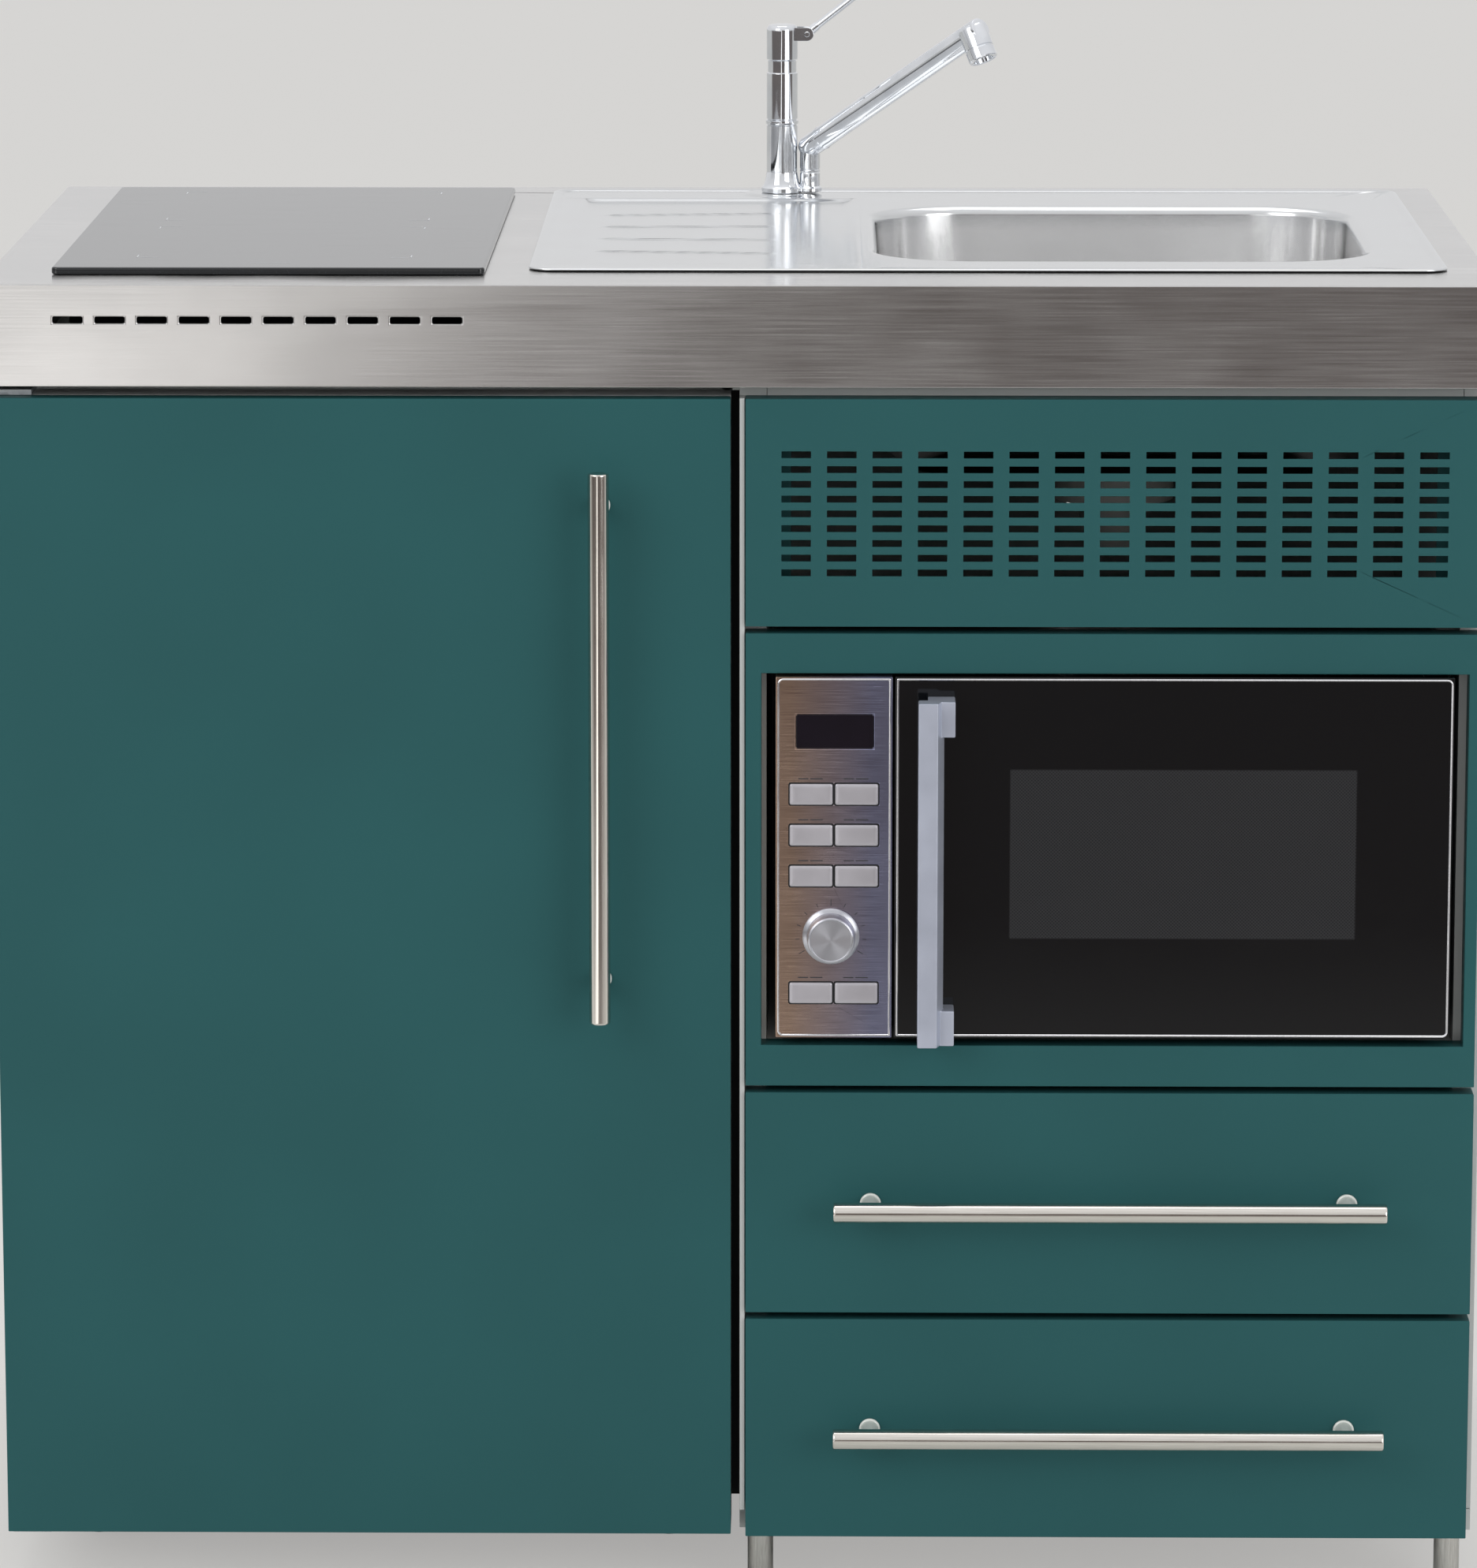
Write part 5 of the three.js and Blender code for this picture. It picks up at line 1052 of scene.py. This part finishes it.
        foot_ring = ring(self.foot + self.draft, floor + self.fall, self.bowl_corner - self.foot)
        loops = []
        for radius, z in ((self.waste, floor - 0.9), (self.waste + 1.5, floor - 0.2), (self.waste + 9, floor),
                          (self.waste + 11, floor + 0.6)):
            loops.append([Vector((centre.x, centre.y, z)) + (p - centre).xy.normalized().to_3d() * radius
                          for p in foot_ring])
        last = loops[-1]
        loops += [[a.lerp(b, t) for a, b in zip(last, foot_ring)] for t in (0.2, 0.5, 0.8)]
        for turn in quarter_turn(8):
            loops.append(ring(self.draft + self.foot * (1 - math.sin(turn)),
                              floor + self.fall + self.foot * (1 - math.cos(turn)),
                              self.bowl_corner - self.foot * (1 - math.sin(turn))))
        top = self.deck - self.lip
        for share in (0.33, 0.66, 1):
            z = floor + self.fall + self.foot + (top - floor - self.fall - self.foot) * share
            loops.append(ring(self.draft * (1 - share), z, self.bowl_corner))
        for turn in quarter_turn(5)[1:]:
            loops.append(ring(-self.lip * (1 - math.cos(turn)), top + self.lip * math.sin(turn),
                              self.bowl_corner + self.lip * (1 - math.cos(turn))))
        outer_x = (self.seam, self.box.hi.x - self.rim_width)
        outer_y = (self.box.lo.y + self.rim_width, self.box.hi.y - self.rim_width)
        corner = self.corner - self.rim_width
        points = rounded((outer_x[1] - outer_x[0]) / 2, (outer_y[1] - outer_y[0]) / 2,
                         (corner, corner, 0.01, 0.01), 12, 24)
        outer = [Vector((sum(outer_x) / 2 + x, sum(outer_y) / 2 + y, self.deck)) for x, y in points]
        last = loops[-1]
        loops += [[a.lerp(b, t) for a, b in zip(last, outer)] for t in (0.06, 0.3, 0.65, 1)]
        shell.loft(loops, (False, False))

    def strainer(self) -> None:
        """Basket strainer: a dished flange, a perforated cup and a lifting knob."""
        box = Box.of("sink_strainer")
        centre = box.centre
        reach = box.size.x / 2
        base = box.lo.z
        shell = Shell().turned([
            (30.5, base), (32, base + 1), (32.3, base + 8.6), (reach - 0.6, base + 9), (reach, base + 9.7),
            (reach - 0.4, base + 10.5), (31.4, base + 10.5), (30.6, base + 9.5), (30.4, base + 2.4),
            (29, base + 1.6), (4.2, base + 1.6), (3.2, base + 3), (3.0, base + 8.5), (5.4, base + 10),
            (6, base + 11.4), (5.6, base + 13.2), (4.2, base + 14),
        ], upright(centre.x, centre.y, 0))
        for ring, count in ((12, 10), (18, 16), (24, 22)):
            for i in range(count):
                turn = 2 * math.pi * i / count
                spot = upright(centre.x + ring * math.cos(turn), centre.y + ring * math.sin(turn), 0)
                shell.turned([(1.4, base + 1.65), (1.1, base + 1.72)], spot, 12)
        stand_in("basket_strainer", shell, SINK_STEEL, "sink_strainer")


def smooth(value: float) -> float:
    """Ease from 0 to 1 as a value runs from 0 to 1."""
    held = max(0.0, min(1.0, value))
    return held * held * (3 - 2 * held)


def spread(low: float, high: float, step: float) -> list[float]:
    """Evenly spaced values from low to high, about a step apart."""
    count = max(1, round((high - low) / step))
    return [low + (high - low) * i / count for i in range(count + 1)]


# ---------------------------------------------------------------- tap


@dataclass
class Tap:
    """Slim mixer tap: column with a turning cap and a rod lever, and a swivelling spout beside it."""

    radius: float = 11.2
    foot_radius: float = 15
    foot_z: float = 902.8
    post_offset: float = 20.2
    post_radius: float = 7.4
    spout_radius: float = 8.5
    spout_root: float = 33
    spout_length: float = 200
    rise_deg: float = 29
    yaw_deg: float = 46
    nozzle_radius: float = 10.4
    lever_offset: float = 18
    lever_height: float = 115
    lever_rise_deg: float = 38
    lever_length: float = 98
    rod_radius: float = 2.7

    def build(self) -> None:
        """Make the four pieces."""
        column = Box.of("tap_column")
        self.foot = Vector((column.lo.x + self.foot_radius, column.centre.y, self.foot_z))
        self.column()
        self.spout()
        self.cap()
        self.lever()

    def column(self) -> None:
        """Column with a flared foot, two rings and a narrow neck, and the stub beside it."""
        r = self.radius
        shell = Shell().turned([
            (5.6, -36), (6, -35.5), (6, 0), (self.foot_radius - 0.4, 0), (self.foot_radius, 0.5),
            (self.foot_radius, 3.2), (self.foot_radius - 0.5, 3.9), (13.6, 4.6), (12.6, 7), (11.8, 11),
            (r + 0.1, 14.4), (r, 15), (r, 48.4), (r - 0.5, 48.8), (r - 0.5, 49.3), (r + 0.5, 49.8),
            (r + 0.6, 51), (r + 0.5, 52.2), (r - 0.5, 52.7), (r - 0.5, 53.2), (r, 53.6), (r, 86.4),
            (r - 0.3, 87), (r - 0.9, 87.3), (r - 0.9, 95.6), (r - 1.2, 96),
        ], Matrix.Translation(self.foot))
        p = self.post_radius
        shell.turned([(p, 0.2), (p + 1.4, 0.8), (p + 1.4, 3), (p, 4.4), (p, 13.6), (p - 0.5, 14.5)],
                     Matrix.Translation(self.foot + Vector((self.post_offset, 0, 0))))
        stand_in("column_and_foot", shell, CHROME, "tap_column")

    def spout(self) -> None:
        """Post, rising tube with a domed root and a nozzle square to the tube."""
        root = self.foot + Vector((self.post_offset, 0, self.spout_root))
        yaw = Matrix.Rotation(-math.radians(self.yaw_deg), 4, "Z")
        along = Matrix.Translation(root) @ yaw @ Matrix.Rotation(-math.radians(self.rise_deg), 4, "Y")
        tube = along @ Matrix.Rotation(math.pi / 2, 4, "Y")
        s = self.spout_radius
        dome = [(s * math.sin(a), -s * math.cos(a)) for a in quarter_turn(8)[1:]]
        p, end = self.post_radius, self.spout_length
        shell = Shell().turned([(p, 14.9), (p, 16), (p - 0.3, 16.4), (p - 0.3, 17), (p, 17.4), (p, 34)],
                               Matrix.Translation(root - Vector((0, 0, self.spout_root))))
        shell.turned([*dome, (s, 14), (s + 0.35, 14.6), (s + 0.35, 16.2), (s, 16.8),
                      (s, end - 2.2), (s - 0.6, end - 0.6), (s - 2, end)], tube)
        n = self.nozzle_radius
        nozzle = along @ Matrix.Translation((end - 8.5, 0, 0))
        shell.turned([(n - 3.2, -19), (n - 3.2, -20.6), (n - 0.8, -21), (n, -20.2), (n, -13.4),
                      (n - 0.6, -13), (n - 0.6, -12.2), (n, -11.8), (n, 2.2), (n - 1, 4),
                      (n - 3, 4.3)], nozzle)
        stand_in("swivel_spout", shell, CHROME, "tap_spout")

    def cap(self) -> None:
        """Turning cap with a rounded crown and the two cheeks that hold the lever."""
        r = self.radius
        shell = Shell().turned([
            (r - 0.8, 96.3), (r, 96.9), (r, 117.6), (r - 0.35, 119.6), (r - 1.6, 121.2), (r - 4, 121.9),
        ], Matrix.Translation(self.foot))
        for side in (-1, 1):
            centre = self.foot + Vector((self.lever_offset - 5, side * 5.4, self.lever_height))
            place = front_plane(centre.x, centre.y, centre.z)
            outline = rounded(9.8, 4.9, (4.8, 4.8, 1, 1), 6)
            shell.slab(outline, place, (-1.1, 1.1), 0.35, 2)
        pivot = self.foot + Vector((self.lever_offset, 0, self.lever_height))
        shell.turned([(1.6, -6.9), (2, -6.5), (2, 6.5), (1.6, 6.9)], facing(pivot, Axis.Y.vector), 24)
        stand_in("turning_cap", shell, CHROME, "tap_cap")

    def lever(self) -> None:
        """Hub and a thin rod with a rounded tip."""
        pivot = self.foot + Vector((self.lever_offset, 0, self.lever_height))
        shell = Shell().turned([(4.6, -4), (5, -3.6), (5, 3.6), (4.6, 4)], facing(pivot, Axis.Y.vector), 32)
        rise = math.radians(self.lever_rise_deg)
        end = self.lever_length
        rod = self.rod_radius
        tip = [(rod * math.cos(a), end - rod + rod * math.sin(a)) for a in quarter_turn(5)[:-1]]
        shell.turned([(3.4, 3), (3.4, 8.5), (rod, 10.5), *tip],
                     facing(pivot, Vector((math.cos(rise), 0, math.sin(rise)))), 24)
        stand_in("rod_lever", shell, CHROME, "tap_lever")


# ---------------------------------------------------------------- cabinet and fridge


@dataclass
class BarHandle:
    """Round stainless bar on two posts.

    Attributes:
        node: The CAD node that it stands for.
        along: Direction of the bar.
        finish: Surface of the bar.
        radius: Radius of the bar.
        post_radius: Radius of a post.
        overhang: Length of the bar beyond a post.
        collar: How far the post's foot stands out from the post.
    """

    node: str
    along: Axis
    finish: BrushedSteel
    radius: float = 7
    post_radius: float = 5.8
    overhang: float = 25
    collar: float = 1.3

    def build(self) -> None:
        """Make the bar with turned ends and posts with a collar on the front."""
        box = Box.of(self.node)
        start = box.centre.copy()
        start.y = box.lo.y + self.radius
        length = box.size[self.along.value]
        start[self.along.value] = box.lo[self.along.value]
        r = self.radius
        shell = Shell().turned([
            (r - 2.2, 0.35), (r - 1.1, 0), (r - 0.45, 0.2), (r - 0.1, 0.7), (r, 1.4), (r, length - 1.4),
            (r - 0.1, length - 0.7), (r - 0.45, length - 0.2), (r - 1.1, length), (r - 2.2, length - 0.35),
        ], facing(start, self.along.vector))
        posts = Shell()
        p, seat = self.post_radius, box.hi.y - start.y
        for shift in (self.overhang, length - self.overhang):
            foot = start + self.along.vector * shift
            posts.turned([(p, 2), (p, seat - 4.2), (p + 0.3, seat - 2.6), (p + self.collar, seat - 1.8),
                          (p + self.collar, seat - 0.3), (p + self.collar - 0.4, seat)],
                         facing(foot, Axis.Y.vector), 32)
        stand_in(f"{self.node}_bar", shell, self.finish, self.node)
        seats = add_piece(f"{self.node}_posts", posts, POST_PAINTED_REFLECTION, body_of(self.node))


@dataclass
class Cabinet:
    """Steel carcass, its teal fronts, drawers and runners."""

    runner_sheet: float = 1.4
    runner_lip: float = 9.5
    runner_hem: float = 2.4
    rail_height: float = 24
    strip_lift: float = 16
    edging: tuple[Span, Span] = ((1.5, 5.0), (-279, -262.4))
    # Span across and in depth of the painted-shade strip in the gap beside the fridge door.
    gap_painted_shade: tuple[Span, Span] = ((-5.5, 1.2), (-240, -237))

    def build(self) -> None:
        """Dress the carcass and make the drawers' handles and runners."""
        dress(GREY, "left_side_panel", "divider_panel", "right_side_panel", "back_panel", "base_panel",
              "microwave_shelf", "top_rail", "upper_drawer_box", "lower_drawer_box")
        dress(LEG_STEEL, "leg_front_left", "leg_front_right", "leg_rear_left", "leg_rear_right")
        dress(TEAL, "microwave_surround", "upper_drawer_front", "lower_drawer_front", edge=0.6)
        dress(TEAL, "vent_panel", edge=0.3)
        for level in ("upper", "lower"):
            BarHandle(f"{level}_drawer_handle", Axis.X, HANDLE_STEEL).build()
            for side in ("left", "right"):
                self.runner(level, side)
        self.strip("divider_edging", self.edging, GREY)
        # The black strip is painted shade: a dark sheet set in the gap beside the fridge door, where there is
        # only shade.
        self.strip("gap_painted_shade", self.gap_painted_shade, BLACK_RUBBER)

    def strip(self, name: str, section: tuple[Span, Span], finish: "Finish") -> None:
        """Upright strip between the fridge and the drawers.

        Args:
            name: Name of the piece.
            section: Its span across and in depth.
            finish: Its surface.
        """
        (left, right), (near, back) = section
        fronts = Box.of("fridge_door_panel")
        middle = Vector(((left + right) / 2, (near + back) / 2, 0))
        outline = rounded((right - left) / 2, (back - near) / 2, 0.6, 3)
        rise = (fronts.lo.z + self.strip_lift, fronts.hi.z)
        shell = Shell().slab(outline, Matrix.Translation(middle), rise, 0.3, 2)
        add_piece(name, shell, finish, "unit")

    def runner(self, level: str, side: str) -> None:
        """Telescopic runner: a channel on the cabinet's wall and a slide on the drawer.

        Args:
            level: Which drawer.
            side: Which side of it.
        """
        box = Box.of(f"{level}_runner_{side}")
        outward = -1 if side == "left" else 1
        wall = box.lo.x if side == "left" else box.hi.x
        half, t, lip = box.size.z / 2, self.runner_sheet, self.runner_lip
        hem = half - t - self.runner_hem
        lower = [(0, -half), (lip, -half), (lip, -hem), (lip - t, -hem), (lip - t, -half + t), (t, -half + t)]
        section = lower + [(x, -z) for x, z in reversed(lower)]
        loops = [[Vector((wall - outward * x, y, box.centre.z + z)) for x, z in section]
                 for y in (box.lo.y, box.hi.y)]
        stand_in(f"{level}_runner_channel_{side}", Shell().loft(loops), ZINC, f"{level}_runner_{side}")
        inner = wall - outward * (box.size.x - 1.8)
        rail = Shell().slab(rounded((box.size.y - 12) / 2, self.rail_height / 2, 2, 3),
                            facing(Vector((inner, box.centre.y - 4, box.centre.z)), Axis.X.vector, "Y"),
                            (-1.5, 1.5), 0.5, 2)
        slide = add_piece(f"{level}_runner_slide_{side}", rail, ZINC, f"{level}_drawer")


@dataclass
class Fridge:
    """Under-counter fridge with its door."""

    def build(self) -> None:
        """Dress the body, the door and what stands inside."""
        dress(LINER, "fridge_cabinet", edge=1.2)
        dress(BLACK_ENAMEL, "fridge_base", "compressor")
        dress(CLEAR_GLASS, "fridge_shelf")
        dress(CLEAR_PLASTIC, "crisper_drawer", "door_rack")
        dress(ZINC, "fridge_hinge_lower", "fridge_hinge_upper")
        dress(TEAL, "fridge_door_panel", edge=0.6)
        dress(LINER, "fridge_door_liner", edge=1.2)
        dress(GREY_RUBBER, "fridge_door_seal")
        BarHandle("fridge_handle", Axis.Z, FRIDGE_HANDLE_STEEL).build()


# ---------------------------------------------------------------- microwave oven


@dataclass
class Microwave:
    """Oven with a brushed control panel, keys, a knob and a glass door with a bar handle."""

    trim_width: float = 1.5
    trim_rise: float = 0.5
    trim_inset: float = 0.8
    corner: float = 4
    window_x: Span = (181.6, 411.7)
    window_z: Span = (462.5, 577)
    display_z: float = 602.5
    display_size: tuple[float, float] = (52, 23.7)
    display_x: float = 64.85
    tick_count: int = 11
    tick_start: float = 210
    tick_sweep: float = 240
    tick_reach: float = 22.5

    def build(self) -> None:
        """Dress the oven and make its keys, knob, trim and display."""
        dress(BLACK_ENAMEL, "microwave_casing", edge=0.3)
        dress(PANEL_STEEL, "microwave_control_panel", edge=0.5)
        dress(DoorGlass("backed_door_glass", self.window_x, self.window_z), "microwave_door", edge=0.6)
        dress(SILVER, "microwave_handle", edge=0.9)
        dress(CLEAR_GLASS, "turntable", edge=0.8)
        for node in self.key_nodes:
            self.key(node)
        self.knob()
        self.trim("panel", "microwave_control_panel")
        self.trim("door", "microwave_door")
        self.display()
        self.key_gap_shade()
        self.ticks()

    def key(self, node: str) -> None:
        """Key with a crowned face and rolled edges.

        Args:
            node: The CAD node that it stands for.
        """
        box = Box.of(node)
        half = box.size / 2
        place = front_plane(box.centre.x, box.hi.y, box.centre.z)
        proud = box.size.y
        steps = [(0.1, 0), (0.1, proud - 1.3), (0.3, proud - 0.7), (0.9, proud - 0.25),
                 (2.4, proud - 0.06), (4.2, proud)]
        loops = []
        for shrink, height in steps:
            points = rounded(half.x - shrink, half.z - shrink, max(0.4, 1.4 - shrink / 3), 4)
            loops.append([place @ Vector((x, y, height)) for x, y in points])
        stand_in(f"{node}_key", Shell().loft(loops), KEY_PLASTIC, node)

    def knob(self) -> None:
        """Knob with a skirt ring, a smooth side and a dished face."""
        box = Box.of("microwave_knob")
        reach, depth = box.size.x / 2, 17
        face = Vector((box.centre.x, box.lo.y, box.centre.z))
        place = facing(face + Vector((0, depth, 0)), -Axis.Y.vector)
        r = 16
        shell = Shell().turned([
            (3, -12), (3, 0.3), (reach - 0.4, 0.3), (reach, 0.8), (reach, 2), (reach - 0.8, 2.9),
            (r + 1.2, 3.2), (r + 0.2, 3.8), (r, 4.8), (r - 0.3, depth - 1.6), (r - 0.6, depth - 0.6),
            (r - 1.2, depth - 0.1),
            (r - 1.9, depth), (r - 2.3, depth - 0.4), (r - 2.8, depth - 0.5), (1, depth - 0.3),
        ], place, 72)
        stand_in("turned_knob", shell, TurnedSteel("lathe_faced_aluminium", box.centre.x, box.centre.z),
                 "microwave_knob")

    def trim(self, name: str, node: str) -> None:
        """Bright line along the edge of the panel or the door.

        Args:
            name: Which of the two.
            node: Its CAD node.
        """
        box = Box.of(node)
        half = box.size / 2
        place = front_plane(box.centre.x, box.lo.y, box.centre.z)
        left = self.corner if name == "panel" else 1
        right = self.corner if name == "door" else 1
        width, rise = self.trim_width, self.trim_rise
        steps = [(0.2, -0.4), (0.2, 0.15), (0.5, rise * 0.8), (width / 2, rise),
                 (width - 0.3, rise * 0.8), (width, 0.05), (width, -0.4)]
        loops = []
        for shrink, height in steps:
            radii = [max(0.5, r - shrink) for r in (right, right, left, left)]
            points = rounded(half.x - self.trim_inset - shrink, half.z - self.trim_inset - shrink, radii, 6)
            loops.append([place @ Vector((x, y, height)) for x, y in points])
        loops.append(loops[0])
        add_piece(f"{name}_trim", Shell().loft(loops, (False, False)), BRIGHT_TRIM, body_of(node))

    def display(self) -> None:
        """Smoked window set in the panel's recess."""
        front = Box.of("microwave_control_panel").lo.y
        place = front_plane(self.display_x, front, self.display_z)
        half = [size / 2 - 0.4 for size in self.display_size]
        shell = Shell().slab(rounded(*half, 1.2, 4), place, (-0.75, -0.1), 0.3, 2)
        add_piece("display_window", shell, DISPLAY_GLASS, "unit")

    @property
    def key_nodes(self) -> list[str]:
        """The eight keys' CAD nodes, row by row."""
        return [f"button_row{row}_{side}" for row in range(1, 5) for side in ("left", "right")]

    def key_gap_shade(self) -> None:
        """Thin dark ring round each key: painted shade that stands in for the shadow in the gap round the
        key.
        """
        front = Box.of("microwave_control_panel").lo.y
        shell = Shell()
        for key in map(Box.of, self.key_nodes):
            outline = rounded(key.size.x / 2 + 0.7, key.size.z / 2 + 0.7, 1.6, 4)
            shell.slab(outline, front_plane(key.centre.x, front, key.centre.z), (0.0, 0.08), 0.02, 1)
        # painted shade: a black sheet in the gap round each key
        add_piece("key_gap_painted_shade", shell, BLACK_RUBBER, "unit")

    def ticks(self) -> None:
        """Plain tick marks round the knob and two plain dashes over each key."""
        knob = Box.of("microwave_knob")
        front = Box.of("microwave_control_panel").lo.y
        shell = Shell()
        for i in range(self.tick_count):
            turn = math.radians(self.tick_start - self.tick_sweep * i / (self.tick_count - 1))
            place = front_plane(knob.centre.x + self.tick_reach * math.cos(turn), front,
                                knob.centre.z + self.tick_reach * math.sin(turn))
            place = place @ Matrix.Rotation(turn, 4, "Z")
            shell.slab(rounded(1.3 if i % 5 else 2.2, 0.22, 0.1, 2), place, (0.0, 0.05), 0.01, 1)
        for key in map(Box.of, self.key_nodes):
            for shift, reach in ((-5.2, 3.4), (3.6, 4.2)):
                place = front_plane(key.centre.x + shift, front, key.hi.z + 3.2)
                shell.slab(rounded(reach, 0.35, 0.2, 2), place, (0.0, 0.05), 0.01, 1)
        add_piece("panel_marks", shell, DARK_INK, "unit")


# ---------------------------------------------------------------- studio


@dataclass
class Studio:
    """Pale floor, soft light and the camera at the photograph's angle."""

    camera_place: tuple[float, float, float] = (0.0598, -5.1543, 1.4887)
    yaw: float = -0.0121
    pitch: float = -0.1871
    lens: float = 171.04
    floor_half: float = 40.0
    floor_colour: str = "#EEEEEC"
    surround: str = "#F1F1F0"
    ambient: float = 0.75
    mirror_gain: float = 1.3
    ceiling: tuple[str, str] = ("#CFCFD0", "#E6E6E8")
    room: tuple[tuple[float, str], ...] = (
        (0.0, "#A8A8AA"), (0.28, "#D8D8DA"), (0.34, "#FFFFFF"), (0.45, "#FFFFFF"), (0.485, "#5A504B"),
        (0.56, "#403733"), (0.72, "#4C4745"), (0.84, "#E6E6E8"), (1.0, "#8E8E90"),
    )

    def build(self) -> None:
        """Make the camera, the floor, the world and the lamps."""
        self.camera()
        self.floor()
        self.world()
        self.lamp("key", (-2.6, -3.2, 2.7), (-0.1, 0, 0.6), 2.4, 48)
        self.lamp("fill", (2.8, -3.6, 1.4), (0.1, 0, 0.4), 2.4, 48)
        self.lamp("top", (0, 0.4, 3.4), (0, 0, 0.8), 2.6, 25)
        bpy.context.scene.view_settings.view_transform = "Standard"

    def camera(self) -> None:
        """Camera that sees the unit as the photograph does."""
        lens = bpy.data.cameras.new("camera")
        lens.lens, lens.sensor_width, lens.sensor_fit = self.lens, 36, "AUTO"
        lens.clip_start, lens.clip_end = 0.1, 100
        camera = bpy.data.objects.new("camera", lens)
        camera.location = self.camera_place
        camera.rotation_euler = (math.pi / 2 + self.pitch, 0, -self.yaw)
        bpy.context.scene.collection.objects.link(camera)
        bpy.context.scene.camera = camera

    def floor(self) -> None:
        """Wide matt floor that takes the unit's shadow."""
        half = self.floor_half
        mesh = bpy.data.meshes.new("floor")
        corners = [(-half, -half, 0), (half, -half, 0), (half, half, 0), (-half, half, 0)]
        mesh.from_pydata(corners, [], [(0, 1, 2, 3)])
        mesh.materials.append(FloorPaint("matt_floor_paint", self.floor_colour).material())
        floor = bpy.data.objects.new("floor", mesh)
        bpy.context.scene.collection.objects.link(floor)

    def world(self) -> None:
        """Even pale surround; metal sees a bright left and back and a dim warm room ahead on the right."""
        world = bpy.data.worlds.new("studio")
        bpy.context.scene.world = world
        world.use_nodes = True
        graph = Graph(world.node_tree)
        place = graph.add("ShaderNodeTexCoord").outputs["Generated"]
        across = graph.ranged(graph.part(Axis.X, place), 0, 1, (-1, 1))
        room = graph.add("ShaderNodeValToRGB", inputs={0: across})
        bands = room.color_ramp.elements
        for place_x, colour in self.room[1:-1]:
            bands.new(place_x)
        for band, (place_x, colour) in zip(bands, self.room):
            band.position, band.color = place_x, linear(colour)
        rise = graph.part(Axis.Z, place)
        ahead = graph.ranged(graph.part(Axis.Y, place), 1, 0, (-0.3, 0.1))
        share = graph.product(ahead, graph.ranged(rise, 1, 0, (0.1, 0.22)))
        ceiling = graph.between(graph.ranged(rise, 0, 1, (0.3, 0.95)), *self.ceiling)
        seen = graph.between(share, ceiling, room.outputs[0])
        rays = graph.add("ShaderNodeLightPath")
        colour = graph.between(rays.outputs["Is Glossy Ray"], self.surround, seen)
        mirrored = graph.ranged(rays.outputs["Is Glossy Ray"], 1.0, self.mirror_gain, (0, 1))
        spread_out = graph.ranged(rays.outputs["Is Diffuse Ray"], 1.0, self.ambient, (0, 1))
        lit = graph.add("ShaderNodeBackground", inputs={
            "Color": colour, "Strength": graph.product(mirrored, spread_out)})
        graph.add("ShaderNodeOutputWorld", inputs={"Surface": lit.outputs[0]})

    def lamp(self, name: str, place: tuple[float, float, float], aim: tuple[float, float, float], size: float,
             power: float) -> bpy.types.Object:
        """Add a soft square lamp.

        Args:
            name: Name of the lamp.
            place: Where it hangs, in metres.
            aim: The point that it faces.
            size: Length of its side, in metres.
            power: Its power, in watts.

        Returns:
            The lamp.
        """
        light = bpy.data.lights.new(name, "AREA")
        light.size, light.energy = size, power
        lamp = bpy.data.objects.new(name, light)
        lamp.location = place
        lamp.rotation_euler = (Vector(place) - Vector(aim)).to_track_quat("Z", "Y").to_euler()
        bpy.context.scene.collection.objects.link(lamp)
        return lamp


@dataclass(frozen=True)
class FloorPaint(Finish):
    """Matt floor paint: pale and even, with the faintest mottling.

    Attributes:
        colour: Colour of the paint.
        near: Colour that metal mirrors from the bright band on the left.
        far: Colour that metal mirrors elsewhere.
        dimmed: Colour that the camera sees under the lamps, so that they don't burn it out.
        glow: Strength of the bright band in mirrors.
        lift: Strength of the floor's own glow, as the camera sees it.
    """

    colour: str = "#EEEEEC"
    near: str = "#F4F2F0"
    far: str = "#5A4F4B"
    dimmed: str = "#9A9A98"
    glow: float = 1.3
    lift: float = 0.42

    def shade(self, graph: Graph) -> None:
        """Even paint; the camera sees part of it as its own glow, and metal a bright band on the left."""
        clouds = graph.grain((60, 60, 60), 1)
        paint = graph.between(graph.ranged(clouds, 0, 1), self.colour, "#EDEDEB")
        ahead = graph.ranged(graph.part(Axis.Y), 1, 0, (-2.5, -0.5))
        rays = graph.add("ShaderNodeLightPath")
        share = graph.product(rays.outputs["Is Glossy Ray"], ahead)
        across = graph.part(Axis.X)
        band = graph.product(graph.ranged(across, 0, 1, (-1.7, -1.3)),
                             graph.ranged(across, 1, 0, (-0.95, -0.42)))
        sight = rays.outputs["Is Camera Ray"]
        plain = graph.between(sight, paint, self.dimmed)
        glowing = graph.product(graph.product(share, band), self.glow)
        lit = graph.calc("ADD", glowing, graph.product(sight, self.lift))
        graph.surface(Base_Color=graph.between(share, plain, graph.between(band, self.far, self.near)),
                      Roughness=0.7, Emission_Color=linear(self.near), Emission_Strength=lit)


def main() -> None:
    """Build the studio and every sub-assembly in order."""
    logging.basicConfig(level=logging.INFO, format="%(name)s: %(message)s")
    for part in (Studio(), Worktop(), Sink(), Tap(), Cabinet(), Fridge(), Microwave()):
        LOG.info("building %s", type(part).__name__)
        part.build()


if __name__ == "__main__":
    main()
